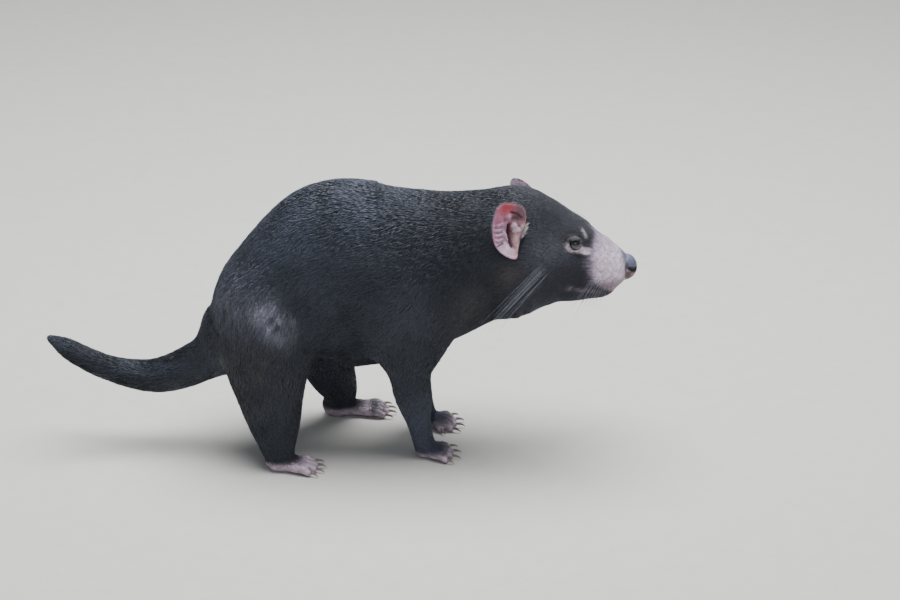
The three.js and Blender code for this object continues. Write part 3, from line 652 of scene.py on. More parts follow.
def surface_nets(field, low, high, cell):
    """The zero surface of a field as quads.

    The field is found on a coarse grid, then on a fine one near the surface. Each fine cell that the surface
    crosses has one vertex, at the mean of the crossings on its edges. Each fine grid edge that it crosses has
    one quad, of the four cells round it.
    """
    ratio = 4
    counts = [int(math.ceil((h - l) / (cell * ratio))) * ratio + 1 for l, h in zip(low, high)]
    lines = [l + cell * np.arange(n) for l, n in zip(low, counts)]
    coarse = [line[::ratio] for line in lines]
    grid = np.stack(np.meshgrid(*coarse, indexing="ij"), -1).reshape(-1, 3)
    rough = field(grid).reshape([len(c) for c in coarse])
    nearest = [np.minimum((np.arange(n) + ratio // 2) // ratio, len(c) - 1) for n, c in zip(counts, coarse)]
    values = rough[np.ix_(*nearest)].astype(np.float32)
    near = np.argwhere(np.abs(values) < cell * ratio * 1.3)
    values[tuple(near.T)] = field(np.stack([lines[a][near[:, a]] for a in range(3)], 1))
    inside = values < 0

    def corner(array, bits):
        return array[tuple(slice(b, n - 1 + b) for b, n in zip(bits, counts))]

    bits = [(a, b, c) for a in (0, 1) for b in (0, 1) for c in (0, 1)]
    count = sum(corner(inside, b).astype(np.int8) for b in bits)
    cells = np.argwhere((count > 0) & (count < 8))
    total = np.zeros((len(cells), 3))
    crossings = np.zeros(len(cells))
    for axis in range(3):
        for start in (b for b in bits if not b[axis]):
            end = tuple(s + (a == axis) for a, s in enumerate(start))
            va, vb = values[tuple((cells + start).T)], values[tuple((cells + end).T)]
            crossed = (va < 0) != (vb < 0)
            t = np.where(crossed, va / np.where(crossed, va - vb, 1), 0)
            point = (cells + start).astype(float)
            point[:, axis] += t
            total += point * crossed[:, None]
            crossings += crossed
    verts = np.array(low) + cell * total / crossings[:, None]
    number = np.full([n - 1 for n in counts], -1)
    number[tuple(cells.T)] = np.arange(len(cells))
    quads = []
    for axis in range(3):
        ends = tuple(slice(1, None) if a == axis else slice(None) for a in range(3))
        starts = tuple(slice(None, -1) if a == axis else slice(None) for a in range(3))
        edges = np.argwhere(inside[starts] != inside[ends])
        u, w = np.eye(3, dtype=int)[(axis + 1) % 3], np.eye(3, dtype=int)[(axis + 2) % 3]
        ring = np.stack([number[tuple((edges - m).T)] for m in (u + w, w, 0 * u, u)], 1)
        outward = inside[tuple(edges.T)]
        quads.append(np.where(outward[:, None], ring, ring[:, ::-1]))
    return verts, np.vstack(quads)


# Meshes


def new_mesh(name, verts, faces):
    """A smooth mesh object, from vertices in metres and faces that all have the same number of corners."""
    verts, faces = np.asarray(verts, np.float32), np.asarray(faces, np.int32)
    mesh = bpy.data.meshes.new(name)
    mesh.vertices.add(len(verts))
    mesh.vertices.foreach_set("co", verts.ravel())
    mesh.loops.add(faces.size)
    mesh.loops.foreach_set("vertex_index", faces.ravel())
    mesh.polygons.add(len(faces))
    mesh.polygons.foreach_set("loop_start", np.arange(0, faces.size, faces.shape[1], dtype=np.int32))
    mesh.polygons.foreach_set("use_smooth", np.full(len(faces), True))
    mesh.update(calc_edges=True)
    mesh.validate()
    piece = bpy.data.objects.new(name, mesh)
    bpy.context.scene.collection.objects.link(piece)
    return piece


def capped_mesh(name, verts, quads, caps):
    """A smooth mesh object, from vertices in millimetres, quads and triangles."""
    mesh = bpy.data.meshes.new(name)
    mesh.from_pydata(to_frame(verts), [], quads.tolist() + caps.tolist())
    mesh.polygons.foreach_set("use_smooth", np.full(len(mesh.polygons), True))
    piece = bpy.data.objects.new(name, mesh)
    bpy.context.scene.collection.objects.link(piece)
    return piece


def cap(hub, ring, flip=False):
    """The triangles from a hub to each two neighbours of a closed ring of vertices, turned over if asked."""
    after = np.roll(ring, -1)
    first, second = (after, ring) if flip else (ring, after)
    return np.stack([np.full(len(ring), hub), first, second], 1)


def mesh_points(piece):
    """A piece's vertices as an array."""
    co = np.empty(len(piece.data.vertices) * 3, np.float32)
    piece.data.vertices.foreach_get("co", co)
    return co.reshape(-1, 3).astype(float)


def set_points(piece, points):
    """Moves a piece's vertices to the points of an array."""
    piece.data.vertices.foreach_set("co", np.asarray(points, np.float32).ravel())
    piece.data.update()


def paint(piece, name, values):
    """Stores a colour, or a mask as a grey, on each vertex of a piece."""
    values = np.asarray(values, np.float32)
    if values.ndim == 1:
        values = np.repeat(values[:, None], 3, 1)
    layer = piece.data.attributes.new(name, "FLOAT_COLOR", "POINT")
    layer.data.foreach_set("color", np.hstack([values, np.ones((len(values), 1), np.float32)]).ravel())


def grid_faces(rows, columns, closed):
    """The quads of a grid of vertices, row by row. Closed, its last column joins its first."""
    i, j = np.meshgrid(np.arange(rows - 1), np.arange(columns - (not closed)), indexing="ij")
    k = (j + 1) % columns
    corners = [i * columns + j, i * columns + k, (i + 1) * columns + k, (i + 1) * columns + j]
    return np.stack(corners, -1).reshape(-1, 4)


def tube(path, radii, sides, across):
    """A tapering round profile carried along a path, closed by a small fan of quads at each end.

    A ring's points are the path's point plus the radius times cosine and sine of the turn, along two axes
    square to the path.
    """
    path, radii = np.asarray(path, float), np.asarray(radii, float)
    ahead = unit(np.gradient(path, axis=0))
    first = unit(np.cross(ahead, across))
    second = np.cross(first, ahead)
    turn = np.arange(sides) / sides * 2 * math.pi
    ring = np.cos(turn)[None, :, None] * first[:, None] + np.sin(turn)[None, :, None] * second[:, None]
    verts = (path[:, None] + radii[:, None, None] * ring).reshape(-1, 3)
    faces = grid_faces(len(path), sides, True)[:, ::-1]
    ends = []
    for start, flip in ((0, True), ((len(path) - 1) * sides, False)):
        for a in range(1, sides - 1, 2):
            quad = [start, start + a, start + a + 1, start + min(a + 2, sides - 1)]
            ends.append(quad[::-1] if flip else quad)
    return verts, faces, np.array(ends)


def joined(tubes):
    """The vertices and faces of many tubes as those of one mesh, their sides before their ends."""
    starts = np.cumsum([0] + [len(verts) for verts, _, _ in tubes[:-1]])
    sides = [quads + start for (_, quads, _), start in zip(tubes, starts)]
    ends = [quads + start for (_, _, quads), start in zip(tubes, starts)]
    return np.vstack([verts for verts, _, _ in tubes]), np.vstack(sides + ends)


def soft_noise(points, size, seed):
    """Smooth noise from about -1 to 1: the sum of nine sine waves of random ways, a size or so long."""
    rng = np.random.default_rng(seed)
    total = np.zeros(len(points))
    for _ in range(9):
        way = unit(rng.normal(size=3)) * rng.uniform(0.7, 1.5) * 2 * math.pi / size
        total += np.sin(points @ way + rng.uniform(0, 2 * math.pi))
    return total / 3


def finished(piece, material, nodes=()):
    """Gives a piece its finish, and tells the frame what it rides on and stands for."""
    piece.data.materials.append(material)
    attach(piece, "root")
    if nodes:
        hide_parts(*nodes)
    return piece


# Sizes and colours


def length(name, description, default, **limits):
    """A length property, in metres."""
    return FloatProperty(
        name=name, description=description, default=default, subtype="DISTANCE", unit="LENGTH", **limits
    )


def angle(name, description, degrees):
    """An angle property, given in degrees."""
    return FloatProperty(
        name=name, description=description, default=math.radians(degrees), subtype="ANGLE", unit="ROTATION"
    )


def power(name, description, watts):
    """A lamp's power property, in watts."""
    return FloatProperty(name=name, description=description, default=watts, subtype="POWER", unit="POWER")


def colour(name, description, value):
    """A colour property, in linear light."""
    return FloatVectorProperty(
        name=name, description=description, default=value, size=3, subtype="COLOR", min=0, max=1
    )


class SkinSizes(bpy.types.PropertyGroup):
    """How finely the skin is meshed."""

    cell: length(
        "Cell",
        "Side of the skin's quads on the body; they are half on the head and feet, a quarter on the face",
        0.0033,
        min=0.002,
        max=0.01,
    )


class CoatSizes(bpy.types.PropertyGroup):
    """The coat's tufts."""

    body_length: length("Body tuft length", "Length of a tuft on the back and flanks", 0.0145)
    face_length: length("Face tuft length", "Length of a tuft on the forehead", 0.0062)
    body_width: length("Body tuft width", "Width of a tuft on the back and flanks, at its widest", 0.00135)
    tilt: angle("Tilt", "How far a tuft rises from the skin", 13)
    tufts: IntProperty(
        name="Tufts",
        description="Number of tufts in each piece of the coat",
        default=27000,
        min=1000,
        max=33000,
    )


class EarSizes(bpy.types.PropertyGroup):
    """The ears, which are rounded dishes."""

    half_height: length("Half height", "From the ear's middle to its top", 0.0312)
    half_width: length("Half width", "From the ear's middle to its front edge", 0.0215)
    cup: length("Cup", "Depth of the ear's hollow", 0.009)


class FaceSizes(bpy.types.PropertyGroup):
    """The eyes and whiskers."""

    pupil: length("Pupil", "Radius of the pupil", 0.0026)
    iris: length("Iris", "Radius of the iris", 0.0069)
    whisker: length("Whisker", "Thickness of a whisker at its root", 0.0005)


class Colours(bpy.types.PropertyGroup):
    """The animal's colours."""

    fur: colour("Fur", "The coat's blue-black", (0.0135, 0.0155, 0.0225))
    brown: colour("Brown fur", "Where the coat is thin and brownish", (0.043, 0.034, 0.034))
    # The rump's pale patch: thin worn fur, partly painted sheen.
    worn_and_sheen: colour("Worn fur", "The pale patch of thin fur on the rump", (0.25, 0.255, 0.32))
    muzzle: colour("Muzzle", "Bare lavender-pink skin of the muzzle", (0.72, 0.59, 0.72))
    lip: colour("Lips", "Pink of the corner of the mouth", (0.32, 0.24, 0.28))
    nose: colour("Nose", "Slate grey of the nose pad", (0.115, 0.13, 0.20))
    rim: colour("Lid rim", "Lavender white of the lower lid", (0.62, 0.53, 0.62))
    ear: colour("Ear", "Pink of the ear's inside", (0.46, 0.20, 0.30))
    ear_red: colour("Ear's red edge", "Red of the ear's upper edge", (0.46, 0.055, 0.075))
    ear_pale: colour("Ear's pale folds", "Lavender-white of the ear's lobes", (0.56, 0.42, 0.56))
    foot: colour("Foot", "Purple-pink of the bare toes", (0.44, 0.35, 0.43))
    claw: colour("Claw", "Pale horn", (0.36, 0.32, 0.30))


class StageSizes(bpy.types.PropertyGroup):
    """The camera and the lights."""

    distance: length("Distance", "From the camera to the animal", 3.2)
    elevation: angle("Elevation", "How far the camera looks down", 22)
    lens: FloatProperty(
        name="Lens", description="Focal length on a 36 mm sensor", default=116.36, subtype="DISTANCE_CAMERA"
    )
    sky: FloatProperty(name="Sky", description="Strength of the soft light from all round", default=0.30)
    overhead: power("Overhead light", "Power of the soft light above", 135)
    front: power("Front light", "Power of the soft light in front", 9)


# Markings


# Colours of single places, in linear light.
TINTS = {
    "neck": (0.085, 0.066, 0.064),
    "head": (0.060, 0.062, 0.083),
    # The cheek's painted highlight.
    "cheek": (0.13, 0.13, 0.155),
    "forelegs": (0.060, 0.068, 0.100),
    "shoulder": (0.042, 0.047, 0.064),
    "bridge": (0.085, 0.082, 0.095),
    "jaw": (0.050, 0.040, 0.050),
    "lower_muzzle": (0.21, 0.135, 0.185),
    "lip_edge": (0.085, 0.06, 0.07),
    # Painted shade in the gap between the lips.
    "lip_gap_shade": (0.04, 0.03, 0.035),
    "chin": (0.10, 0.075, 0.095),
    "lip_dot": (0.72, 0.66, 0.68),
    "upper_lid": (0.17, 0.155, 0.155),
    "lid_edge": (0.24, 0.165, 0.20),
    "eye_corner": (0.40, 0.24, 0.28),
    "hood": (0.135, 0.128, 0.125),
    # Painted shade in the fold above the upper lid.
    "lid_crease_shade": (0.020, 0.019, 0.021),
    # Dark lashes along the upper lid, with painted shade under its edge.
    "upper_lash_line_and_shade": (0.012, 0.010, 0.011),
    "lower_lash_line": (0.10, 0.05, 0.055),
    "brow_hollow": (0.012, 0.012, 0.015),
    "brow_mark": (0.50, 0.48, 0.50),
    "nose_below": (0.105, 0.052, 0.06),
    "nose_spot": (0.36, 0.20, 0.20),
    "nose_wing": (0.055, 0.032, 0.045),
    # Painted shade: the nostrils' holes painted near black.
    "nostril_shade": (0.010, 0.006, 0.007),
    "pinna_back_edge": (0.42, 0.14, 0.19),
    "pinna_flush": (0.40, 0.12, 0.16),
    "pinna_red": (0.20, 0.095, 0.12),
    # Painted shade beside the canal, in the hollow and beside the knob.
    "canal_side_shade": (0.17, 0.085, 0.085),
    "hollow": (0.11, 0.062, 0.056),
    "knob_side_shade": (0.07, 0.035, 0.05),
    "front_edge": (0.20, 0.10, 0.11),
    "lobe": (0.60, 0.47, 0.56),
    "lobe_shine": (0.78, 0.66, 0.70),
    "edge_lobe": (0.50, 0.38, 0.41),
    # Painted shade between the lobes.
    "edge_lobe_side_shade": (0.10, 0.05, 0.05),
    "low_lobe": (0.62, 0.50, 0.60),
    "strip": (0.50, 0.35, 0.32),
    "crest": (0.68, 0.56, 0.64),
    # Painted shade in the canal.
    "canal": (0.05, 0.02, 0.022),
    "before_strip": (0.035, 0.037, 0.046),
    # Painted shade in the arc's fold and the crease.
    "arc": (0.04, 0.018, 0.02),
    "crease": (0.09, 0.06, 0.09),
    "rim": (0.09, 0.06, 0.075),
    "rim_hair": (0.16, 0.10, 0.125),
    "lock_hair": (0.34, 0.30, 0.29),
    "eye_white": (0.20, 0.13, 0.13),
    "iris": (0.010, 0.009, 0.012),
    "pupil": (0.003, 0.003, 0.003),
    "claw_root": (0.19, 0.16, 0.15),
    "pale_whisker": (0.26, 0.27, 0.33),
    "dark_whisker": (0.05, 0.05, 0.06),
}
# The darkest and the palest that a painted colour gets.
TONE_LIMITS = (0.004, 0.9)
# Spots of thin brownish fur, and pale spots of worn fur that are partly painted sheen: centre, reach and
# strength.
BROWN_SPOTS = [
    ((-208, 62, 118), 38, 0.8),  # thigh
    ((-60, 62, 158), 24, 0.5),  # behind the shoulder
    ((12, 48, 168), 26, 0.8),  # throat
    ((30, 58, 200), 24, 0.6),  # neck
]
WORN_AND_SHEEN_SPOTS = [((-194, 64, 186), 17, 1), ((-180, 66, 166), 15, 0.7), ((-232, 45, 196), 32, 0.34)]


def brow_mark(side):
    """The points of the pale mark above the eye, just off the skin."""
    centre, gaze, forward, up = eye_axes(side)
    places = [(u - OPENING_BACK, v - OPENING_DOWN) for u, v in BROW_MARK]
    path = np.array([centre + forward * u + up * v + gaze * 4 for u, v in places])
    for _ in range(12):
        path = path - gaze * skin_field(path)[:, None] * 0.8
    return path


def mixed(base, other, share):
    """Each row of base moved towards a colour by its share."""
    return base + (np.asarray(other) - base) * np.clip(share, 0, 1)[:, None]


def layered(base, layers):
    """Each row of base moved towards one colour after another, each by its own share."""
    for tint, share in layers:
        base = mixed(base, TINTS[tint] if isinstance(tint, str) else tint, share)
    return base


def spots(points, rows):
    """The sum of spots, each a bell round its centre times its strength."""
    return sum(strength * spot(points, centre, reach) for centre, reach, strength in rows)


def bareness(points):
    """How bare the skin is, from nought under the coat to one on the muzzle, lids and feet."""
    x, z = points[:, 0], points[:, 2]
    height = np.where(x > TAIL_START, z, 200)
    feet = np.where(x < HIND_FEET_FRONT, ramp(-height, -17, -10), ramp(-height, -13, -7)) * (x < FEET_FRONT)
    edge = x - 0.30 * np.maximum(z - 236, 0)
    edge = edge + 2.0 * soft_noise(points, 16, 5) + 1.2 * soft_noise(points, 5, 9)
    below = z - 0.62 * (183 - x) + soft_noise(points, 8, 10)
    muzzle = ramp(edge, 145, 157) * ramp(below, 178, 187)
    rim = np.zeros(len(points))
    for side in SIDES.values():
        u, v, w, _ = eye_places(points, side)
        rim = np.maximum(rim, ramp(-lid_reach(points, u, v), -1.15, -0.7) * (w > -12))
    lips = ramp(-lip_distance(points, 9), -4.0, -1.6) * ramp(x, 136, 146)
    lips += 0.8 * spot(points, (131.5, 33, 196.5), 3.6)
    lips = np.minimum(lips + 0.75 * spot(points, (138.5, 30, 194), 2.8), 1)
    return np.maximum.reduce([feet, muzzle, rim, lips])


def coat_colour(points, tones):
    """The coat's colour: darker and paler in soft noise, a painted sheen on the top of the back and painted
    shade low on the flanks, brown in spots, worn fur partly painted as sheen in spots, a painted highlight on
    the cheek and painted shade on the head's top.
    """
    x, z = points[:, 0], points[:, 2]
    out = np.tile(np.array(tones.fur), (len(points), 1))
    out *= (1 + 0.20 * soft_noise(points, 60, 1) + 0.12 * soft_noise(points, 21, 4))[:, None]
    # Painted sheen: the top of the back made up to about three times paler, for the sky's light on it.
    out *= (1 + 2.1 * ramp(z - 0.3 * x, 205, 330) * ramp(-x, -20, 60))[:, None]
    # Painted shade: darker low on the flanks and hind legs, away from the light above.
    out *= (1 - 0.22 * ramp(-z, -165, -110) * ramp(-x, 70, 110) * ramp(x, TAIL_START, -240))[:, None]
    brown = spots(points, BROWN_SPOTS) * (0.75 + 0.4 * soft_noise(points, 22, 2))
    # The pale rump spots: thin worn fur, with a painted sheen on them.
    worn_and_sheen = spots(points, WORN_AND_SHEEN_SPOTS) * (0.78 + 0.4 * soft_noise(points, 9, 3))
    layers = [
        (tones.brown, brown),
        (tones.worn_and_sheen, worn_and_sheen),
        ("neck", 0.9 * spot(points, (70, 60, 226), 15)),
        # Paler on the head, less so on its top, which is painted darker as shade against the overhead
        # highlight.
        ("head", 0.7 * ramp(x, 50, 115) * (1 - 0.55 * ramp(z, 236, 285))),
        # Painted highlight: the cheek paler where it catches the light.
        ("cheek", 0.65 * spot(points, (110, 46, 246), 18)),
        ("forelegs", 0.85 * ramp(-z, -105, -35) * ramp(x, HIND_FEET_FRONT, -70)),
        ("shoulder", 0.7 * spot(points, (-44, 72, 190), 32)),
        ("bridge", 0.6 * ramp(x, 140, 158) * ramp(z, 215, 240)),
        ("jaw", 0.7 * ramp(x, 140, 150) * ramp(-z, -212, -196)),
    ]
    return layered(out, layers)


def muzzle_colour(points, tones):
    """The bare skin's colour on the muzzle: lavender, darker on the bridge, with the lips, and painted shade
    along the line between them.
    """
    x, z = points[:, 0], points[:, 2]
    lavender = np.array(tones.muzzle)
    skin = np.tile(lavender, (len(points), 1))
    skin *= (1 + 0.10 * soft_noise(points, 9, 6) + 0.10 * soft_noise(points, 3.4, 7))[:, None]
    lips = lip_distance(points, 9)
    layers = [
        (lavender * (0.50, 0.47, 0.54), 0.8 * ramp(-x, -166, -150)),
        (lavender * (0.27, 0.29, 0.34), 0.85 * ramp(z + 0.25 * (x - 160), 228, 252)),
        ("lower_muzzle", ramp(-z, -208, -194)),
        ("lip_edge", ramp(-lips, -5, -2.5) * ramp(-x, -176, -168) * ramp(x, 139, 144)),
        (tones.lip, ramp(-x, -146, -140) * ramp(-z, -204, -200)),
        # Painted shade in the gap between the lips.
        ("lip_gap_shade", ramp(-lips, -1.4, -0.4)),
        ("chin", ramp(-z, -184.5, -181) * ramp(x, 150, 160)),
        ("lip_dot", 0.9 * spot(points, (168, 17.5, 190.5), 2.2)),
    ]
    return layered(skin, layers)


def eye_colours(points, side, coat, skin, tones):
    """Coat and skin with the colours round one eye laid over them: on the skin alone, or on both."""
    u, v, w, ring = eye_places(points, side)
    front = ramp(w, -8, -2)
    upper = ramp(v - 0.12 * u, 0.5, 3.0)
    lower = front * (1 - upper)
    near = ramp(-np.hypot((u + 0.5) / 12, v / 11), -1.1, -0.8) * front
    lid = lid_reach(points, u, v)
    hood = bell(np.hypot((u + 0.5) / 9.5, (v - 8.2) / 3.0), 1.0)
    hollow = bell(np.hypot(u - 22.5, (v - 6.5) / 1.6), 4.8)
    mark = bell(line_distance(points, brow_mark(side), 5), 2.0)
    lids = [
        ("upper_lid", near * upper),
        ("lid_edge", ramp(-lid, -1.4, -1.0) * lower * ramp(-u, -16, -6)),
        (tones.rim, ramp(-lid, -1.05, -0.55) * lower * ramp(-u, -26, -16)),
        ("eye_corner", 0.8 * bell(np.hypot(u - 8.2, (v + 0.6) / 1.7), 2.6) * front),
    ]
    folds = [
        ("hood", 0.8 * hood * front),
        # Painted shade in the fold above the upper lid.
        ("lid_crease_shade", 0.7 * bell(ring - 2.45, 0.24) * front * ramp(v, 3, 7)),
    ]
    lashes = [
        # Dark lashes along the upper lid, with painted shade under its edge.
        ("upper_lash_line_and_shade", ramp(-ring, -1.3, -1.1) * front * upper),
        ("lower_lash_line", ramp(-ring, -1.14, -1.02) * lower),
    ]
    brow = [("brow_hollow", 0.95 * hollow * front), ("brow_mark", 0.95 * mark)]
    return layered(coat, folds + brow), layered(skin, lids + folds + lashes + brow)


def nose_colours(points, skin, tones):
    """Skin with the nose's colours laid over it: the pad, its reddish lower part, its wings, and painted
    shade in the nostrils.
    """
    x, z = points[:, 0], points[:, 2]
    wings = [[mirrored(place, side) for place in NOSE_WING] for side in SIDES.values()]
    wing = np.minimum(*[line_distance(points, path, 4) for path in wings])
    layers = [
        (tones.nose, ramp(x + 0.35 * (z - 212), 187.5, 195.5) * ramp(z, 203, 206)),
        ("nose_below", ramp(-z, -209, -206.5) * ramp(z, 196, 199) * ramp(x, 191, 193.5)),
        ("nose_spot", 0.8 * spot(points, (199, 8, 204), 2.7)),
        ("nose_wing", 0.95 * bell(wing, 2.1)),
    ]
    # Painted shade: the nostrils' holes painted near black.
    layers += [("nostril_shade", ramp(-hole(points), -1.5, -0.2)) for hole in NOSTRILS.values()]
    return layered(skin, layers)


def foot_colour(points, tones):
    """The bare skin's colour on the feet, darker towards the ankle."""
    foot = np.array(tones.foot)
    skin = np.tile(foot, (len(points), 1)) * (1 + 0.18 * soft_noise(points, 7, 8))[:, None]
    return mixed(skin, foot * 0.6, ramp(points[:, 2], 9, 16))


def markings(points, tones):
    """The colour of skin and coat at each point, from its place alone, and how bare the skin is there."""
    coat, skin = coat_colour(points, tones), muzzle_colour(points, tones)
    for side in SIDES.values():
        coat, skin = eye_colours(points, side, coat, skin, tones)
    skin = nose_colours(points, skin, tones)
    x, z = points[:, 0], points[:, 2]
    low = (x < FEET_FRONT) & (z < FOOT_TOP) & (x > TAIL_START)
    skin = np.where(low[:, None], foot_colour(points, tones), skin)
    bare = bareness(points)
    return np.clip(coat + (skin - coat) * bare[:, None], *TONE_LIMITS), bare


# Materials


def new_group(name, inputs, outputs):
    """An empty shader node group with the named sockets, and its input and output nodes."""
    group = bpy.data.node_groups.new(name, "ShaderNodeTree")
    for label, kind, value in inputs:
        socket = group.interface.new_socket(label, in_out="INPUT", socket_type=kind)
        if value is not None:
            socket.default_value = value
    for label, kind in outputs:
        group.interface.new_socket(label, in_out="OUTPUT", socket_type=kind)
    return group, group.nodes.new("NodeGroupInput"), group.nodes.new("NodeGroupOutput")


def node(tree, kind, values=(), **settings):
    """A node with its settings, and its inputs set from a dictionary of names or numbers."""
    made = tree.nodes.new(kind)
    for key, value in settings.items():
        setattr(made, key, value)
    for key, value in dict(values).items():
        made.inputs[key].default_value = value
    return made


def wire(tree, *links):
    """Links a tree's sockets, each link given as a node and its output, then a node and its input."""
    for start, output, end, entry in links:
        tree.links.new(start.outputs[output], end.inputs[entry])


def spread(tree, low, high):
    """A node that brings the middle values of a noise, 0.3 to 0.7, to a range."""
    return node(tree, "ShaderNodeMapRange", {"From Min": 0.3, "From Max": 0.7, "To Min": low, "To Max": high})


# What both groups of grain put out.
GRAIN = [("Colour", "NodeSocketColor"), ("Roughness", "NodeSocketFloat"), ("Height", "NodeSocketFloat")]


def strand_group():
    """Fine streaks of hair: drawn-out noise on the Object coordinates lightens and darkens a colour."""
    found = bpy.data.node_groups.get("hair_streaks")
    if found:
        return found
    inputs = [("Colour", "NodeSocketColor", (0.02, 0.02, 0.02, 1)), ("Strength", "NodeSocketFloat", 0.4)]
    group, start, end = new_group("hair_streaks", inputs, GRAIN)
    place = node(group, "ShaderNodeTexCoord")
    stretch = node(group, "ShaderNodeMapping", {"Scale": (140, 520, 520)})
    noise = node(group, "ShaderNodeTexNoise", {"Scale": 1.0, "Detail": 3.0, "Roughness": 0.6})
    tone, rough = spread(group, -1.0, 1.0), spread(group, 0.42, 0.62)
    gain = node(group, "ShaderNodeMath", {2: 1.0}, operation="MULTIPLY_ADD")
    scaled = node(group, "ShaderNodeVectorMath", operation="SCALE")
    wire(
        group,
        (place, "Object", stretch, "Vector"),
        (stretch, "Vector", noise, "Vector"),
        (noise, "Fac", tone, "Value"),
        (tone, "Result", gain, 0),
        (start, "Strength", gain, 1),
        (start, "Colour", scaled, 0),
        (gain, 0, scaled, "Scale"),
        (noise, "Fac", rough, "Value"),
        (scaled, 0, end, "Colour"),
        (rough, "Result", end, "Roughness"),
        (noise, "Fac", end, "Height"),
    )
    return group


def pore_group():
    """Bare skin: fine creases of two sizes of noise, and small dark pits where hairs leave the skin."""
    found = bpy.data.node_groups.get("bare_skin_grain")
    if found:
        return found
    inputs = [("Colour", "NodeSocketColor", (0.4, 0.3, 0.35, 1)), ("Pore size", "NodeSocketFloat", 420.0)]
    group, start, end = new_group("bare_skin_grain", inputs, GRAIN)
    place = node(group, "ShaderNodeTexCoord")
    cells = node(group, "ShaderNodeTexVoronoi", {"Scale": 420.0, "Randomness": 0.9})
    pits = node(group, "ShaderNodeMapRange", {"From Min": 0.10, "From Max": 0.26})
    crease = node(group, "ShaderNodeTexNoise", {"Scale": 700.0, "Detail": 4.0})
    blotch = node(group, "ShaderNodeTexNoise", {"Scale": 210.0, "Detail": 4.0, "Roughness": 0.6})
    tone, rough = spread(group, 0.72, 1.24), spread(group, 0.42, 0.6)
    shade = node(group, "ShaderNodeMapRange", {"To Min": 0.45})
    both = node(group, "ShaderNodeMath", operation="MULTIPLY")
    scaled = node(group, "ShaderNodeVectorMath", operation="SCALE")
    height = node(group, "ShaderNodeMath", {1: 0.6}, operation="MULTIPLY_ADD")
    wire(group, *[(place, "Object", texture, "Vector") for texture in (cells, crease, blotch)])
    wire(
        group,
        (start, "Pore size", cells, "Scale"),
        (cells, "Distance", pits, "Value"),
        (pits, "Result", shade, "Value"),
        (blotch, "Fac", tone, "Value"),
        (tone, "Result", both, 0),
        (shade, "Result", both, 1),
        (start, "Colour", scaled, 0),
        (both, 0, scaled, "Scale"),
        (crease, "Fac", height, 0),
        (pits, "Result", height, 2),
        (crease, "Fac", rough, "Value"),
        (scaled, 0, end, "Colour"),
        (rough, "Result", end, "Roughness"),
        (height, 0, end, "Height"),
    )
    return group


def new_material(name, **values):
    """A material with a Principled BSDF, whose named sockets hold the given constant values."""
    material = bpy.data.materials.new(name)
    material.use_nodes = True
    shader = material.node_tree.nodes["Principled BSDF"]
    for key, value in values.items():
        shader.inputs[key.replace("_", " ")].default_value = value
    return material, material.node_tree, shader


def grouped(tree, group, **values):
    """A node that holds a group, with its values."""
    made = tree.nodes.new("ShaderNodeGroup")
    made.node_tree = group
    for key, value in values.items():
        made.inputs[key.replace("_", " ")].default_value = value
    return made


def coat_material():
    """The tufts: the colour painted on them, with fine streaks."""
    found = bpy.data.materials.get("coat_hair")
    if found:
        return found
    sheen = dict(Sheen_Weight=0.16, Sheen_Roughness=0.4, Sheen_Tint=(0.62, 0.76, 1.0, 1))
    material, tree, shader = new_material("coat_hair", Specular_IOR_Level=0.5, **sheen)
    painted = node(tree, "ShaderNodeAttribute", attribute_name="tone")
    streaks = grouped(tree, strand_group(), Strength=0.3)
    wire(
        tree,
        (painted, "Color", streaks, "Colour"),
        (streaks, "Colour", shader, "Base Color"),
        (streaks, "Roughness", shader, "Roughness"),
    )
    return material


def skin_material(name, pore_size, **values):
    """Skin: the painted colour, with hair streaks where it is under the coat and pores where it is bare.

    Colour, roughness and height each go from the streaks' to the pores' by the painted bareness. The sockets
    of a Mix node are numbered, as those of its other kinds have the same names.
    """
    found = bpy.data.materials.get(name)
    if found:
        return found
    material, tree, shader = new_material(name, Specular_IOR_Level=0.45, **values)
    painted = node(tree, "ShaderNodeAttribute", attribute_name="tone")
    bare = node(tree, "ShaderNodeAttribute", attribute_name="bare")
    streaks = grouped(tree, strand_group(), Strength=0.35)
    pores = grouped(tree, pore_group(), Pore_size=pore_size)
    relief = node(tree, "ShaderNodeBump", {"Strength": 0.7, "Distance": 0.0009})
    wire(tree, (painted, "Color", streaks, "Colour"), (painted, "Color", pores, "Colour"))
    for output, kind, first, result, end, entry in (
        ("Colour", "RGBA", 6, 2, shader, "Base Color"),
        ("Roughness", "FLOAT", 2, 0, shader, "Roughness"),
        ("Height", "FLOAT", 2, 0, relief, "Height"),
    ):
        mix = node(tree, "ShaderNodeMix", data_type=kind)
        wire(
            tree,
            (bare, "Fac", mix, 0),
            (streaks, output, mix, first),
            (pores, output, mix, first + 1),
            (mix, result, end, entry),
        )
    wire(tree, (relief, "Normal", shader, "Normal"))
    return material


# Skin

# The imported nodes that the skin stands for, and the space in which its surface is looked for.
FLESH = ["torso", "neck", "head", "lower_jaw", "nose", "tail_base", "tail_middle", "tail_tip"]
FLESH += [f"front_{side}_{part}" for side in SIDES for part in ("upper_arm", "forearm", "paw")]
FLESH += [f"hind_{side}_{part}" for side in SIDES for part in ("thigh", "shank", "foot")]
SKIN_SPACE = ((-460, -100, -6), (216, 100, 318))
# The skin is finer in front of the first of these and below FOOT_LOW, and finer again in front of the second.
HEAD_START = 66
FACE_START = 121
FOOT_LOW = 22


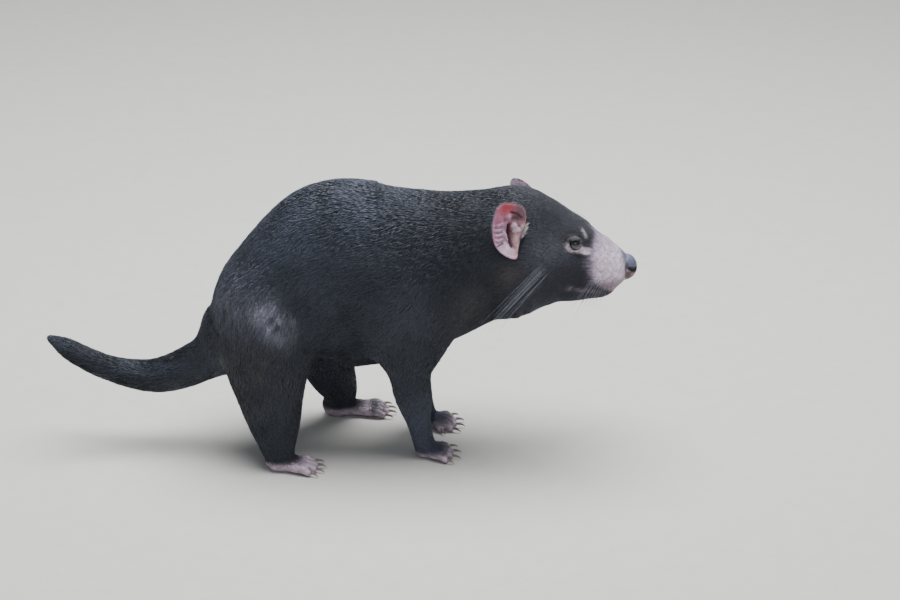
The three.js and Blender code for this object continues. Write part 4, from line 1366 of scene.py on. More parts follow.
def refine(piece, wanted):
    """Halves the quads of a piece whose middle the test picks, with clean borders to their neighbours."""
    form = bmesh.new()
    form.from_mesh(piece.data)
    form.faces.ensure_lookup_table()
    middles = np.array([f.calc_center_median() for f in form.faces])
    chosen = np.flatnonzero(wanted(from_frame(middles)))
    edges = {e for i in chosen for e in form.faces[i].edges}
    bmesh.ops.subdivide_edges(form, edges=list(edges), cuts=1, use_grid_fill=True)
    form.to_mesh(piece.data)
    form.free()


class DEVIL_OT_skin(bpy.types.Operator):
    """Makes the one skin of body, head, legs and tail"""

    bl_idname = "devil.skin"
    bl_label = "Skin"

    def execute(self, context):
        sizes = context.scene.devil_skin
        verts, quads = surface_nets(skin_field, *SKIN_SPACE, sizes.cell * 1000)
        piece = new_mesh("skin", to_frame(verts), quads)
        refine(piece, lambda p: (p[:, 0] > HEAD_START) | ((p[:, 2] < FOOT_LOW) & (p[:, 0] > TAIL_START)))
        refine(piece, lambda p: p[:, 0] > FACE_START)
        points = settle(skin_field, from_frame(mesh_points(piece)), 3)
        set_points(piece, to_frame(points))
        piece.data.polygons.foreach_set("use_smooth", np.full(len(piece.data.polygons), True))
        tone, bare = markings(points, context.scene.devil_colours)
        # Under the coat the skin is the coat's colour at 0.55: a dark undercoat, and painted shade beneath
        # the tufts.
        paint(piece, "tone", tone * (0.55 + 0.45 * bare)[:, None])
        paint(piece, "bare", bare)
        finished(piece, skin_material("skin_and_shaded_undercoat", 330.0), FLESH)
        return {"FINISHED"}


# Coat

# Each piece of the coat is on the skin in some boxes, given as back, front, bottom and top.
FAR = 1000
COAT = {
    "coat_face": [(100, FAR, 0, FAR)],
    "coat_head": [(50, 100, 0, FAR)],
    "coat_neck": [(2, 50, 0, FAR)],
    "coat_shoulders": [(-78, 2, 112, FAR)],
    "coat_loins": [(-150, -78, 88, FAR)],
    "coat_rump": [(TAIL_START, -150, 112, FAR)],
    "coat_forelegs": [(-78, 2, 0, 112)],
    "coat_hind_legs": [(-150, -78, 0, 88), (TAIL_START, -150, 0, 112)],
    "coat_tail": [(-FAR, TAIL_START, 0, FAR)],
}
# How pale a laid tuft is at its root, its two sides, its ridge and its tip: darker at the root, as painted
# shade down among the hairs, and paler at the tip.
COAT_GRADE = np.array((0.45, 0.95, 0.95, 1.0, 1.4))
EAR_HAIR_GRADE = np.array((0.6, 0.95, 0.95, 1.0, 1.4))


def within(points, boxes):
    """Which points lie in any of some boxes, given as back, front, bottom and top."""
    x, z = points[:, 0], points[:, 2]
    return np.any([(x > back) & (x <= front) & (z > low) & (z <= top) for back, front, low, top in boxes], 0)


def lie_of_coat(points, normals):
    """The way the coat lies at each point: back along the trunk, out along the tail and down the legs.

    Each limb's way counts by e to the minus distance over a softness. On the trunk the coat also falls a
    little. The sum is laid into the skin's plane and turned about the normal by soft noise.
    """
    total = np.zeros((len(points), 3))
    limbs = [(TRUNK_LIMB, -1, 9), (TAIL_LIMB, 1, 9)] + [(limb, 1, 7) for limb in LEG_LIMBS.values()]
    for limb, sense, softness in limbs:
        far, way = limb.measure(points)
        way = sense * way
        if limb is TRUNK_LIMB:
            steep = np.clip(1 - np.abs(normals[:, 2]), 0, 1) * ramp(-points[:, 0], -150, -60)
            way = unit(way + steep[:, None] * np.array((0, 0, -0.55)))
        total += np.exp(-np.maximum(far + 6, 0) / softness)[:, None] * way
    total -= (total * normals).sum(1, keepdims=True) * normals
    total = unit(total)
    turn = 0.22 * soft_noise(points, 46, 11) + 0.10 * soft_noise(points, 13, 12)
    side = np.cross(normals, total)
    return total * np.cos(turn)[:, None] + side * np.sin(turn)[:, None]


def triangles_of(piece):
    """A piece's vertices, and its faces as rows of three of them."""
    mesh = piece.data
    mesh.calc_loop_triangles()
    corners = np.empty(len(mesh.loop_triangles) * 3, np.int32)
    mesh.loop_triangles.foreach_get("vertices", corners)
    return mesh_points(piece), corners.reshape(-1, 3)


def tuft_length(points, sizes):
    """The coat's length: short on the face, longer on the body, longest on the tail, less down the legs."""
    x, z = points[:, 0], points[:, 2]
    body, face = sizes.body_length * 1000, sizes.face_length * 1000
    along = np.interp(x, (-420, -300, -240, 30, 70, 110, 140, 165), (1.1, 1.2, 1, 0.95, 0.7, 0, -0.25, -0.45))
    legs = np.interp(z, (14, 40, 80, 120), (0.32, 0.55, 0.8, 1))
    tip = np.interp(x, (-450, -436, -415), (0.25, 0.4, 1))
    return (face + (body - face) * along) * np.where(x > TAIL_START, legs, tip)


# The six triangles of a tuft: 0 is its root, 1 and 2 its sides, 3 its ridge and 4 its tip.
TUFT_FACES = np.array([(1, 3, 0), (3, 2, 0), (2, 1, 0), (3, 1, 4), (2, 3, 4), (1, 2, 4)])


# How far a tuft's patch of the bake map reaches each way, and its vertices' places in it.
PATCH_REACH = 0.0015
PATCH = np.array([(-1, 0), (0, 0.9), (0, -0.9), (0.25, 0), (1, 0)])


def tuft_patches(piece, places):
    """Writes the bake map: each tuft is a small patch at its own place, given as a row of the array."""
    corner_places = (places[:, None] + PATCH_REACH * PATCH).reshape(-1, 2)
    layer = piece.data.uv_layers.new(name="OFBake")
    corners = np.empty(len(piece.data.loops), np.int32)
    piece.data.loops.foreach_get("vertex_index", corners)
    layer.data.foreach_set("uv", corner_places[corners].astype(np.float32).ravel())


def tuft_colours(tone, grade):
    """The colours of the five vertices of each tuft: the tuft's tone times how pale each vertex is."""
    return (tone[:, None] * grade[..., None]).reshape(-1, 3)


def tuft_shapes(roots, normals, lie, length, width, tilt, rng, laid=True):
    """The five vertices and six triangles of each tuft.

    A tuft is a spindle. Its root is just under the skin. At 0.4 of its length it is widest, with a point to
    either side and one above, and its tip is at its full length. A laid tuft's tip is bent until it hangs
    just over the skin.
    """
    count = len(roots)
    side = np.cross(normals, lie)
    lift, ahead = np.sin(tilt)[:, None], np.cos(tilt)[:, None]
    long, wide = length[:, None], width[:, None]
    middle = roots + 0.4 * long * (lie * ahead + normals * lift * 1.25)
    tip = roots + long * lie * ahead
    tip += normals * (0.72 * long * lift - (skin_field(tip)[:, None] if laid else 0))
    tip += side * rng.normal(0, 0.05, (count, 1)) * long
    right, left, ridge = middle + side * wide / 2, middle - side * wide / 2, middle + normals * wide * 0.38
    verts = np.stack([roots - normals * 0.5, right, left, ridge, tip], 1)
    faces = (np.arange(count) * 5)[:, None, None] + TUFT_FACES
    return verts.reshape(-1, 3), faces.reshape(-1, 3)


def tuft_map(piece, roots):
    """Gives a piece of coat its bake map, an unwrap of the body's own form.

    Along the body is one way of the map and round it the other. On the legs, height is one way and the turn
    round the leg the other, with a half of the map for each side. Each tuft's patch is at its root's place.
    """
    x, y, z = roots.T
    if piece.name in ("coat_forelegs", "coat_hind_legs"):
        middle = np.where(y > 0, 1, -1) * (46 if piece.name == "coat_forelegs" else 64)
        turn = np.arctan2(y - middle, x - x.mean()) / (2 * math.pi) + 0.5
        u = np.where(y > 0, 0.02 + 0.46 * turn, 0.52 + 0.46 * turn)
        v = 0.02 + 0.96 * (z - z.min()) / np.ptp(z)
    else:
        along, _, heights, _, _ = np.array(TAIL[::-1] + TRUNK, float).T
        heights = np.interp(x, along, heights)
        turn = np.arctan2(y, z - heights) / (2 * math.pi) + 0.5
        u = 0.02 + 0.96 * (x - x.min()) / np.ptp(x)
        v = 0.02 + 0.96 * turn
    tuft_patches(piece, np.stack([u, v], 1))


class DEVIL_OT_coat(bpy.types.Operator):
    """Roots the coat's tufts on the skin, region by region"""

    bl_idname = "devil.coat"
    bl_label = "Coat"

    def execute(self, context):
        sizes, tones = context.scene.devil_coat, context.scene.devil_colours
        rng = np.random.default_rng(7)
        verts, triangles = triangles_of(bpy.data.objects["skin"])
        corners = np.stack([from_frame(verts)[triangles[:, i]] for i in range(3)])
        middle = corners.sum(0) / 3
        weight = self.weight(corners, middle, sizes)
        for name, boxes in COAT.items():
            roots = self.roots(corners, np.where(within(middle, boxes), weight, 0), sizes.tufts, rng)
            self.region(name, roots, sizes, tones, rng)
        return {"FINISHED"}

    @staticmethod
    def weight(corners, middle, sizes):
        """How many tufts each triangle gets, beside the others: its area over a power of their length."""
        a, b, c = corners
        area = np.linalg.norm(np.cross(b - a, c - a), axis=1) / 2
        weight = area / np.maximum(tuft_length(middle, sizes), 2) ** 0.8
        weight *= 1 - 0.97 * bareness(middle)
        weight *= (middle[:, 2] > 9) | (middle[:, 0] < TAIL_START)
        for ear in EARS:
            weight *= in_ear(middle, ear) > 3.5
        return weight

    @staticmethod
    def roots(corners, weight, count, rng):
        """Evenly random places on the skin's triangles, as many on each as its weight asks for."""
        ends = np.cumsum(weight)
        share = (np.arange(count) + rng.random(count)) / count
        a, b, c = corners[:, np.searchsorted(ends, share * ends[-1])]
        r, s = np.sqrt(rng.random(count)), rng.random(count)
        return (1 - r)[:, None] * a + (r * (1 - s))[:, None] * b + (r * s)[:, None] * c

    @staticmethod
    def region(name, roots, sizes, tones, rng):
        """One piece of the coat, with a tuft at each root: finer, flatter and plainer towards the head."""
        count, x = len(roots), roots[:, 0]
        normals = unit(slope_of(skin_field, roots, 0.8))
        lie = lie_of_coat(roots, normals)
        lie = unit(lie + rng.normal(0, 0.10, count)[:, None] * np.cross(normals, lie))
        length = tuft_length(roots, sizes) * rng.uniform(0.72, 1.15, count)
        width = sizes.body_width * 1000 * (length / (sizes.body_length * 1000)) ** 0.55
        width *= rng.uniform(0.75, 1.2, count) * np.interp(x, (-60, 30), (1, 0.7))
        for ear in EARS:
            over_ear = in_ear(roots + 0.85 * length[:, None] * lie, ear) < 2.5
            length *= np.where(over_ear, 0.35, 1)
        tilt = sizes.tilt * rng.uniform(0.6, 1.35, count) * np.interp(x, (-60, 50), (1, 0.65))
        shape, faces = tuft_shapes(roots, normals, lie, length, width, tilt, rng)
        piece = new_mesh(name, to_frame(shape), faces)
        tone = markings(roots, tones)[0] * rng.uniform(0.84, 1.18, (count, 1))
        # Painted shade at the tufts' roots, and paler tips, both less towards the head.
        plain = np.interp(x, (-60, 30), (1, 0.4))[:, None]
        paint(piece, "tone", tuft_colours(tone, 1 + (COAT_GRADE - 1) * plain))
        tuft_map(piece, roots)
        finished(piece, coat_material())


# Ears


def ear_sheet(name, share, turn, behind):
    """Points on an ear: its inner face, or its back, which is behind by the ear's thickness and its root."""
    centre, forward, upward, outward = ear_axes(name)
    f, u = ear_outline(turn)
    f, u = f * share, u * share
    depth = ear_face(f, u, share)
    if behind:
        root = 16 * np.exp(-(((f - 5) / 10) ** 4) - ((u + 5) / 16) ** 4)
        depth = ear_dish(f, u) * (1 - share**7) - 3.0 * (1 - 0.62 * share**6) - root
    return centre + f[..., None] * forward + u[..., None] * upward + depth[..., None] * outward


def ear_tone(f, u, share, tones):
    """The inside's colour: red above, pale lobes and ribs, and painted shade in the canal, the hollow and the
    creases and beside the knob and lobes.
    """
    flat = np.stack([f, u, 0 * f], 1)
    pale = np.array(tones.ear_pale)
    out = np.tile(np.array(tones.ear), (f.size, 1)) * (1 + 0.10 * soft_noise(flat, 12, 21))[:, None]
    panel = ramp(-f, -1, 4) * ramp(-u, -13, -6)
    lobe = np.minimum(np.hypot(f - 9.4, (u - 3.6) / 1.3), np.hypot((f - 11.2) / 1.25, u + 0.8))
    lobe += 0.5 * soft_noise(flat, 3, 22)
    before = f - np.interp(u, (-28, -18, -10, -4), (8.2, 9.4, 10.8, 15))
    layers = [
        (pale, panel * (0.55 + 0.45 * ear_ribs(f, u))),
        ("pinna_back_edge", 0.6 * ramp(-f, 14, 19) * ramp(-u, -16, -2) * ramp(u, -14, -8)),
        ("pinna_flush", 0.7 * ear_spot(f, u, -12, 9, 4)),
        (tones.ear_red, 0.95 * ear_spot(f, u, 1, 24, 8.5, 1.4)),
        ("pinna_red", 0.9 * ramp(f, 8, 14) * ramp(u, 6, 10)),
        # Painted shade beside the canal and in the hollow.
        ("canal_side_shade", 0.85 * ear_spot(f, u, 7, -1, 3.4, 1, 2.6)),
        ("hollow", 0.9 * ear_spot(f, u, 11.5, 12.6, 4.2, 1.5)),
        (pale * 0.9, 0.8 * ear_spot(f, u, 4.0, 14.5, 2.4)),
        # Painted shade beside the knob.
        ("knob_side_shade", 0.8 * ear_spot(f, u, -1.6, 12, 2.2)),
        ("front_edge", 0.8 * ramp(f, 11, 15) * ramp(-u, -9, -5)),
        ("lobe", ramp(-lobe, -4.0, -2.2)),
        ("lobe_shine", 0.9 * ear_spot(f, u, 11.6, -0.4, 2.4)),
        ("edge_lobe", 0.9 * ear_spot(f, u, 17.4, 2, 2.8)),
        # Painted shade between the lobes.
        ("edge_lobe_side_shade", 0.8 * ear_spot(f, u, 14.4, 3.6, 1.4)),
        ("low_lobe", 0.85 * ear_spot(f, u, -1.5, -19.5, 6)),
        ("strip", 0.85 * ear_path(f, u, EAR_STRIP, 2.6)),
        ("crest", 0.9 * ear_path(f, u, EAR_CREST, 1.8)),
        # Painted shade in the canal.
        ("canal", 0.95 * ear_path(f, u, EAR_CANAL, 1.5)),
        ("before_strip", ramp(before, 0, 1.6) * ramp(-u, 0, 4)),
        # Painted shade in the arc's fold and the crease.
        ("arc", 0.9 * ear_path(f, u, EAR_ARC, 1.1)),
        ("crease", 0.85 * ear_path(f, u, EAR_CREASE, 1.0)),
        ("rim", 0.55 * ramp(share, 0.96, 1.0)),
    ]
    return layered(out, layers)


# Kinds of short hair on an ear: number of tufts, their length, width and tilt, and how much their ways vary.
EAR_HAIR = {
    "back": (2400, 4.2, 0.55, 0.22, 0.16),
    "rim": (620, 2.3, 0.55, 0.25, 0.16),
    "lock": (90, 12, 0.5, 0.1, 0.12),
}
# Where each ear's middle is across the bake map, where each kind of hair is up it, and the map's scale.
EAR_MAP_ACROSS = {"right": 0.25, "left": 0.75}
EAR_MAP_UP = {"back": 0.30, "rim": 0.78, "lock": 0.94}
EAR_MAP_SCALE = 0.0075


def ear_hair_places(kind, number, rng):
    """Random places of one kind of hair, as shares of the way out to the rim and turns about the middle."""
    share, turn = np.sqrt(rng.uniform(0.02, 0.97, number)), rng.uniform(0, 2 * math.pi, number)
    if kind == "rim":
        share = rng.uniform(0.965, 0.995, number)
    if kind == "lock":
        share, turn = rng.uniform(0.88, 1.0, number), rng.uniform(-0.42, -0.05, number)
    return share, turn


def ear_tufts(name, kind, tones, rng):
    """The vertices, tones and places on the bake map of one kind of hair on one ear, a row for each tuft.

    Hair on the back lies up and out and is laid into the skin, hair on the rim stands out and up, and the
    lock lies forward and up. None grows where the ear is sunk into the head.
    """
    _, forward, upward, outward = ear_axes(name)
    number, long, wide, tilt, stray = EAR_HAIR[kind]
    share, turn = ear_hair_places(kind, number, rng)
    inside = kind == "lock"
    here = ear_sheet(name, share, turn, not inside)
    inner = ear_sheet(name, share - 0.02, turn, not inside)
    beside = ear_sheet(name, share, turn + 0.02, not inside)
    normals = unit(np.cross(here - inner, beside - here))
    normals *= np.sign(normals @ outward * (1 if inside else -1))[:, None]
    out = unit(here - inner)
    ways = {
        "back": out * 0.5 + upward * 0.8 - forward * 0.3,
        "rim": out + 0.5 * upward,
        "lock": np.tile(0.74 * forward + 0.62 * upward + 0.25 * outward, (number, 1)),
    }
    lie = unit(unit(ways[kind]) + rng.normal(0, stray, (number, 3)))
    length = long * rng.uniform(0.65, 1.1, number)
    width = wide * rng.uniform(0.7, 1.2, number)
    f, u = (share * way for way in ear_outline(turn))
    thin = ramp(share, 0.45, 0.85) * ramp(u, -2, 12)
    if kind == "back":
        lie = unit(lie - (lie * normals).sum(1, keepdims=True) * normals)
        keep = (skin_field(here) > 0.4) & (rng.random(number) > 0.9 * thin)
    else:
        keep = skin_field(here + 3 * outward) > 0
    shape, _ = tuft_shapes(here, normals, lie, length, width, np.full(number, tilt), rng, laid=False)
    fur = np.array(tones.fur)
    base, pink = {
        "back": (fur * 1.6, np.array(tones.ear_pale) * 0.7),
        "rim": (fur * 2.6, TINTS["rim_hair"]),
        "lock": (TINTS["lock_hair"], TINTS["lock_hair"]),
    }[kind]
    tone = np.tile(np.array(base), (keep.sum(), 1)) * rng.uniform(0.7, 1.3, (keep.sum(), 1))
    if not inside:
        tone = mixed(tone, pink, 0.8 * thin[keep])
    across = EAR_MAP_ACROSS[name] + EAR_MAP_SCALE * f
    up = EAR_MAP_UP[kind] + EAR_MAP_SCALE * u * (not inside)
    return shape.reshape(-1, 5, 3)[keep], tone, np.stack([across, up], 1)[keep]


class DEVIL_OT_ears(bpy.types.Operator):
    """Makes the two ears with their folds, and the short hair on their edges and backs"""

    bl_idname = "devil.ears"
    bl_label = "Ears"

    def execute(self, context):
        for name in SIDES:
            self.shell(name, context.scene.devil_colours)
        self.hair(context.scene.devil_colours)
        return {"FINISHED"}

    @staticmethod
    def shell(name, tones):
        """One closed ear: a polar grid for its face and one for its back, joined round the rim."""
        rings, spokes = 60, 168
        share = np.linspace(0.01, 1, rings)[:, None] + np.zeros((1, spokes))
        turn = np.arange(spokes)[None, :] / spokes * 2 * math.pi + np.zeros((rings, 1))
        face, back = (ear_sheet(name, share, turn, behind) for behind in (False, True))
        verts = np.vstack([face.reshape(-1, 3), back.reshape(-1, 3), face[0].mean(0), back[0].mean(0)])
        size = rings * spokes
        spoke = np.arange(spokes)
        rim = size - spokes + spoke
        after = np.roll(rim, -1)
        grid = grid_faces(rings, spokes, True)
        edge = np.stack([size + rim, size + after, after, rim], 1)
        quads = np.vstack([grid, grid[:, ::-1] + size, edge])
        hubs = np.vstack([cap(2 * size, spoke, True), cap(2 * size + 1, size + spoke)])
        if SIDES[name] < 0:
            quads, hubs = quads[:, ::-1], hubs[:, ::-1]
        piece = capped_mesh("pinna_" + name, verts, quads, hubs)
        f, u = (share * way for way in ear_outline(turn))
        tone = ear_tone(f.ravel(), u.ravel(), share.ravel(), tones)
        thin = ramp(share.ravel(), 0.35, 0.8) * ramp(u.ravel(), -4, 12)
        behind = np.tile(np.array(tones.fur) * 1.5, (size, 1))
        behind = mixed(behind, np.array(tones.ear_pale) * 0.95, 0.95 * thin)
        paint(piece, "tone", np.clip(np.vstack([tone, behind, tone[:1], behind[:1]]), *TONE_LIMITS))
        paint(piece, "bare", np.concatenate([np.ones(size), np.zeros(size), (1, 0)]))
        material = skin_material("pinna_skin", 600.0, Subsurface_Weight=0.12, Subsurface_Scale=0.004)
        finished(piece, material, ["ear_" + name])

    @staticmethod
    def hair(tones):
        """Short tufts: over the backs, a fringe round the rims, and a pale lock at each ear's front edge."""
        rng = np.random.default_rng(17)
        tufts = [ear_tufts(name, kind, tones, rng) for name in SIDES for kind in EAR_HAIR]
        shapes, colours, places = (np.concatenate(arrays) for arrays in zip(*tufts))
        faces = TUFT_FACES + (np.arange(len(shapes)) * 5)[:, None, None]
        piece = new_mesh("ear_hair", to_frame(shapes.reshape(-1, 3)), faces.reshape(-1, 3))
        # Painted shade at the tufts' roots.
        paint(piece, "tone", tuft_colours(colours, EAR_HAIR_GRADE))
        tuft_patches(piece, places)
        finished(piece, coat_material())


# Eyes


class DEVIL_OT_eyes(bpy.types.Operator):
    """Makes the two eyes, each a ball with a raised clear-coated cornea"""

    bl_idname = "devil.eyes"
    bl_label = "Eyes"

    def execute(self, context):
        for name, side in SIDES.items():
            self.ball(name, side, context.scene.devil_face)
        return {"FINISHED"}

    def ball(self, name, side, sizes):
        """One eye: a ball whose radius swells at the cornea's edge, painted by distance off its axis."""
        rings, spokes = 40, 56
        turn = np.arange(spokes) / spokes * 2 * math.pi
        angle = np.linspace(0.01, math.pi - 0.01, rings)
        radius = EYE_RADIUS * (1 + 0.045 * bell(angle, 0.55))
        centre, gaze, forward, up = eye_axes(side)
        gaze = unit(gaze * EYE_RADIUS - forward * OPENING_BACK)
        forward = unit(forward - gaze * (forward @ gaze))
        ring = np.cos(turn)[:, None] * forward + np.sin(turn)[:, None] * up
        away = np.cos(angle)[:, None, None] * gaze + np.sin(angle)[:, None, None] * ring[None]
        poles = np.stack([gaze * radius[0], -gaze * radius[-1]])
        off = np.vstack([(radius[:, None, None] * away).reshape(-1, 3), poles])
        size, spoke = rings * spokes, np.arange(spokes)
        quads = grid_faces(rings, spokes, True)
        caps = np.vstack([cap(size, spoke, True), cap(size + 1, size - spokes + spoke)])
        if np.cross(forward, up) @ gaze > 0:
            quads, caps = quads[:, ::-1], caps[:, ::-1]
        piece = capped_mesh("eyeball_" + name, centre + off, quads, caps)
        out = np.linalg.norm(off - (off @ gaze)[:, None] * gaze, axis=1)
        ahead = off @ gaze > 0
        tone = np.tile(np.array(TINTS["eye_white"]), (len(off), 1))
        for tint, edge, blur in (("iris", sizes.iris * 1000, 0.3), ("pupil", sizes.pupil * 1000, 0.2)):
            tone = mixed(tone, TINTS[tint], ramp(-out, -edge - blur, -edge + blur) * ahead)
        paint(piece, "tone", tone)
        finished(piece, self.material(), ["eye_" + name])

    @staticmethod
    def material():
        """The eye's finish: the painted iris and white, under a wet coat."""
        found = bpy.data.materials.get("wet_eye")
        if found:
            return found
        wet = dict(Roughness=0.1, Specular_IOR_Level=0.5, Coat_Weight=1.0)
        material, tree, shader = new_material("wet_eye", **wet)
        painted = node(tree, "ShaderNodeAttribute", attribute_name="tone")
        place = node(tree, "ShaderNodeTexCoord")
        veins = node(tree, "ShaderNodeTexNoise", {"Scale": 900.0, "Detail": 3.0})
        tone = spread(tree, 0.8, 1.15)
        scaled = node(tree, "ShaderNodeVectorMath", operation="SCALE")
        wire(
            tree,
            (place, "Object", veins, "Vector"),
            (veins, "Fac", tone, "Value"),
            (painted, "Color", scaled, 0),
            (tone, "Result", scaled, "Scale"),
            (scaled, 0, shader, "Base Color"),
        )
        return material


# Claws

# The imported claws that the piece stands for.
CLAW_NODES = [f"{leg}_claw_{i + 1}" for leg in LEGS for i in range(5 if leg.startswith("front") else 4)]
CLAW_LENGTH = 10.5
CLAW_RADIUS = 1.75
CLAW_SIDES = 10


class DEVIL_OT_claws(bpy.types.Operator):
    """Makes the claws, each a pointed horn that bends down from its toe"""

    bl_idname = "devil.claws"
    bl_label = "Claws"

    def execute(self, context):
        claws = [self.claw(*toe[2:]) for leg in LEGS for toe in toes_of(leg)]
        verts, faces = joined(claws)
        piece = new_mesh("claws", to_frame(verts), faces)
        points = from_frame(mesh_points(piece))
        tone = np.tile(np.array(context.scene.devil_colours.claw), (len(points), 1))
        paint(piece, "tone", mixed(tone, TINTS["claw_root"], ramp(points[:, 2], 3.2, 5.5)))
        paint(piece, "bare", np.ones(len(points)))
        finished(piece, skin_material("claw_horn", 900.0), CLAW_NODES)
        return {"FINISHED"}

    @staticmethod
    def claw(tip, heading, high):
        """One claw: it runs on from its toe's tip, drops with the square of the way and is flattened."""
        t = np.linspace(0, 1, 12)
        root = tip + heading * (high * 0.8 - 2.5) + np.array((0, 0, 1.0))
        path = root + np.outer(CLAW_LENGTH * np.sin(t * math.pi / 2) ** 0.9, heading)
        path[:, 2] -= (root[2] - 1.1) * t * t
        across = np.array((-heading[1], heading[0], 0.0))
        verts, quads, ends = tube(path, CLAW_RADIUS * (1 - t) ** 0.8 + 0.12, CLAW_SIDES, across)
        flat = (verts - np.repeat(path, CLAW_SIDES, 0)) @ across
        return verts - 0.28 * flat[:, None] * across, quads, ends


# Whiskers


def whisker_roots():
    """The place, way, length, droop and thickness of each whisker of one side: snout, cheek, brow and chin.

    The length is in millimetres, and the thickness is a share of a whole whisker's.
    """
    rng = np.random.default_rng(31)
    rows = []
    for row in range(4):
        for i in range(6):
            place = (153 + 4.8 * i + rng.normal(0, 0.5), 0, 196 + 4.4 * row - 0.5 * i + rng.normal(0, 0.4))
            back, low = -0.48 - 0.05 * (5 - i) + rng.normal(0, 0.1), -0.95 + 0.13 * row + rng.normal(0, 0.08)
            length = (11 + 4.6 * (5 - i)) * rng.uniform(0.8, 1.15)
            rows.append((place, (back, 0.62, low), length, 0.25, 0.62 + 0.05 * (5 - i)))
    for i in range(20):
        place = (108 + rng.normal(0, 3.8), 0, 229 + rng.normal(0, 4.2))
        way = (-0.70, 0.42 + rng.normal(0, 0.03), -0.60 + rng.normal(0, 0.05))
        rows.append((place, way, rng.uniform(62, 106), 0.05, 0.5))
    for i in range(4):
        place = (150 - 2.5 * i, 0, 262 + i)
        way = (-0.5, 0.6, 0.65 - 0.1 * i)
        rows.append((place, way, rng.uniform(11, 18), 0.2, 0.55))
    for i in range(6):
        place = (146 + 4 * i, 0, 181 + rng.normal(0, 0.8))
        rows.append((place, (-0.2, 0.5, -0.8), rng.uniform(7, 12), 0.2, 0.5))
    return rows


class DEVIL_OT_whiskers(bpy.types.Operator):
    """Makes the whiskers, each a fine tapering tube that droops towards its tip"""

    bl_idname = "devil.whiskers"
    bl_label = "Whiskers"

    def execute(self, context):
        thick = context.scene.devil_face.whisker * 1000 / 2
        rng = np.random.default_rng(5)
        rows = [(*row, side) for row in whisker_roots() for side in SIDES.values()]
        roots = np.array([(place[0], 70.0 * side, place[2]) for place, *_, side in rows])
        for _ in range(30):
            roots[:, 1] -= np.sign(roots[:, 1]) * np.maximum(skin_field(roots), -2) * 0.8
        tubes, tones = [], []
        t = np.linspace(0, 1, 11)
        for (_, way, length, droop, size, side), root in zip(rows, roots):
            bend = np.array((-0.25, 0, -1.0)) * droop * length
            heading = unit(mirrored(way, side))
            path = root + np.outer((t - 0.04) * length, heading) + np.outer(t**2 * 0.5, bend)
            tubes.append(tube(path, thick * size * (1 - t) ** 0.7 + 0.03, 5, np.array((0.1, 0.3, 1.0))))
            tint = TINTS["pale_whisker" if rng.random() < 0.7 else "dark_whisker"]
            tones.append(np.tile(tint, (len(tubes[-1][0]), 1)))
        verts, faces = joined(tubes)
        piece = new_mesh("whiskers", to_frame(verts), faces)
        paint(piece, "tone", np.vstack(tones))
        finished(piece, coat_material())
        return {"FINISHED"}


# Stage


FLOOR_TONES = ((0.56, 0.55, 0.53), (0.62, 0.61, 0.59))
SKY_COLOUR = (0.86, 0.92, 1.0, 1)
# How high the middle of the picture is on the animal, in millimetres.
PICTURE_MIDDLE = 169.7
SENSOR_WIDTH = 36.0


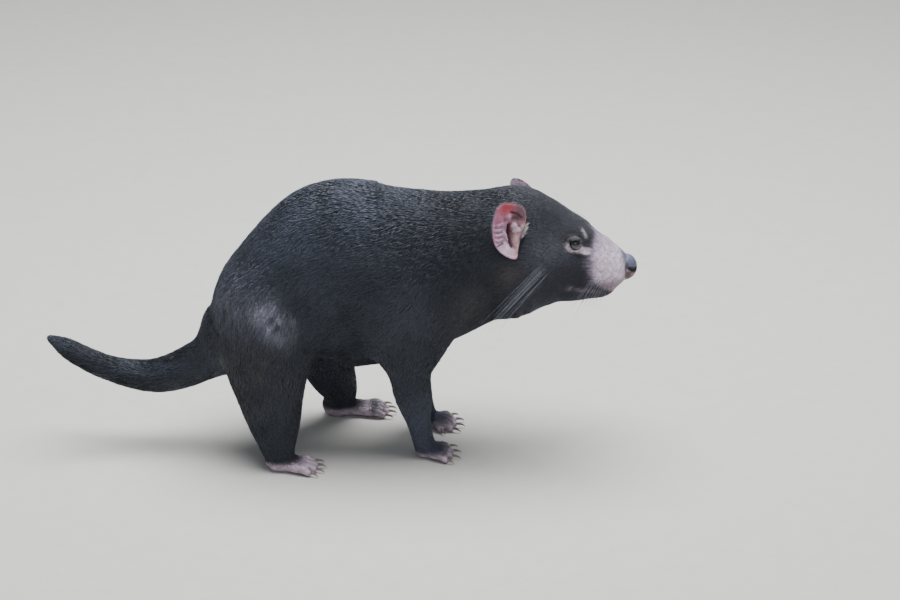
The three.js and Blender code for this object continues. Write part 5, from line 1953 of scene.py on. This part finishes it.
class DEVIL_OT_stage(bpy.types.Operator):
    """Makes the pale floor, the soft lights and the camera"""

    bl_idname = "devil.stage"
    bl_label = "Stage"

    def execute(self, context):
        settings = context.scene.devil_stage
        self.floor()
        self.lights(settings)
        self.camera(settings)
        return {"FINISHED"}

    @staticmethod
    def floor():
        """A wide floor that rises behind in one soft curve: flat, a quarter of a circle, then upright."""
        across = np.linspace(-6, 6, 9)
        turn = np.linspace(0, math.pi / 2, 13)
        y = np.concatenate([[-6, -2, 2], 2.5 + 1.5 * np.sin(turn), [4.0]])
        z = np.concatenate([[0, 0, 0], 1.5 - 1.5 * np.cos(turn), [4.5]])
        rows = np.stack(np.broadcast_arrays(across[None, :], y[:, None], z[:, None]), -1)
        floor = new_mesh("floor", rows.reshape(-1, 3), grid_faces(len(y), len(across), False))
        material, tree, shader = new_material("pale_floor", Roughness=0.85)
        place = node(tree, "ShaderNodeTexCoord")
        grain = node(tree, "ShaderNodeTexNoise", {"Scale": 40.0, "Detail": 3.0})
        tones = node(tree, "ShaderNodeValToRGB")
        for stop, tone in zip(tones.color_ramp.elements, FLOOR_TONES):
            stop.color = (*tone, 1)
        wire(
            tree,
            (place, "Object", grain, "Vector"),
            (grain, "Fac", tones, "Fac"),
            (tones, "Color", shader, "Base Color"),
        )
        floor.data.materials.append(material)

    @staticmethod
    def lights(settings):
        """A wide soft light overhead, a weaker one by the camera, and an even sky."""
        world = bpy.data.worlds.new("sky")
        world.use_nodes = True
        background = world.node_tree.nodes["Background"]
        background.inputs["Color"].default_value = SKY_COLOUR
        background.inputs["Strength"].default_value = settings.sky
        bpy.context.scene.world = world
        for name, place, size, power in (
            ("overhead", (0.15, 0.35, 2.3), 2.2, settings.overhead),
            ("front", (0.5, -2.4, 1.7), 1.6, settings.front),
        ):
            data = bpy.data.lights.new(name, "AREA")
            data.shape, data.size, data.energy = "DISK", size, power
            lamp = bpy.data.objects.new(name, data)
            lamp.location = place
            aim = Vector((0, 0, 0.15)) - Vector(place)
            lamp.rotation_euler = aim.to_track_quat("-Z", "Y").to_euler()
            bpy.context.scene.collection.objects.link(lamp)

    @staticmethod
    def camera(settings):
        """The camera looks along +Y and down, at the point that the middle of the picture shows."""
        target = Vector(to_frame((0, 0, PICTURE_MIDDLE)))
        back = Vector((0, -math.cos(settings.elevation), math.sin(settings.elevation)))
        data = bpy.data.cameras.new("camera")
        data.lens, data.sensor_width = settings.lens, SENSOR_WIDTH
        camera = bpy.data.objects.new("camera", data)
        camera.location = target + back * settings.distance
        camera.rotation_euler = back.to_track_quat("Z", "Y").to_euler()
        bpy.context.scene.collection.objects.link(camera)
        bpy.context.scene.camera = camera


# Panel and registration

OPERATORS = (
    DEVIL_OT_stage,
    DEVIL_OT_skin,
    DEVIL_OT_coat,
    DEVIL_OT_ears,
    DEVIL_OT_eyes,
    DEVIL_OT_claws,
    DEVIL_OT_whiskers,
)
GROUPS = {
    "devil_skin": SkinSizes,
    "devil_coat": CoatSizes,
    "devil_ears": EarSizes,
    "devil_face": FaceSizes,
    "devil_colours": Colours,
    "devil_stage": StageSizes,
}


class DEVIL_PT_panel(bpy.types.Panel):
    """The sizes and colours, and a button for each piece"""

    bl_idname = "DEVIL_PT_panel"
    bl_label = "Tasmanian devil"
    bl_space_type = "VIEW_3D"
    bl_region_type = "UI"
    bl_category = "Devil"

    def draw(self, context):
        for name, group in GROUPS.items():
            box = self.layout.box()
            for key in group.__annotations__:
                box.prop(getattr(context.scene, name), key)
        for operator in OPERATORS:
            self.layout.operator(operator.bl_idname)


def register():
    for group in GROUPS.values():
        bpy.utils.register_class(group)
    for name, group in GROUPS.items():
        setattr(bpy.types.Scene, name, PointerProperty(type=group))
    for operator in OPERATORS:
        bpy.utils.register_class(operator)
    bpy.utils.register_class(DEVIL_PT_panel)


def unregister():
    bpy.utils.unregister_class(DEVIL_PT_panel)
    for operator in reversed(OPERATORS):
        bpy.utils.unregister_class(operator)
    for name in GROUPS:
        delattr(bpy.types.Scene, name)
    for group in reversed(list(GROUPS.values())):
        bpy.utils.unregister_class(group)


def main():
    register()
    for operator in OPERATORS:
        group, name = operator.bl_idname.split(".")
        if getattr(getattr(bpy.ops, group), name)() != {"FINISHED"}:
            raise RuntimeError(operator.bl_label + " didn't finish")


if __name__ == "__main__":
    main()
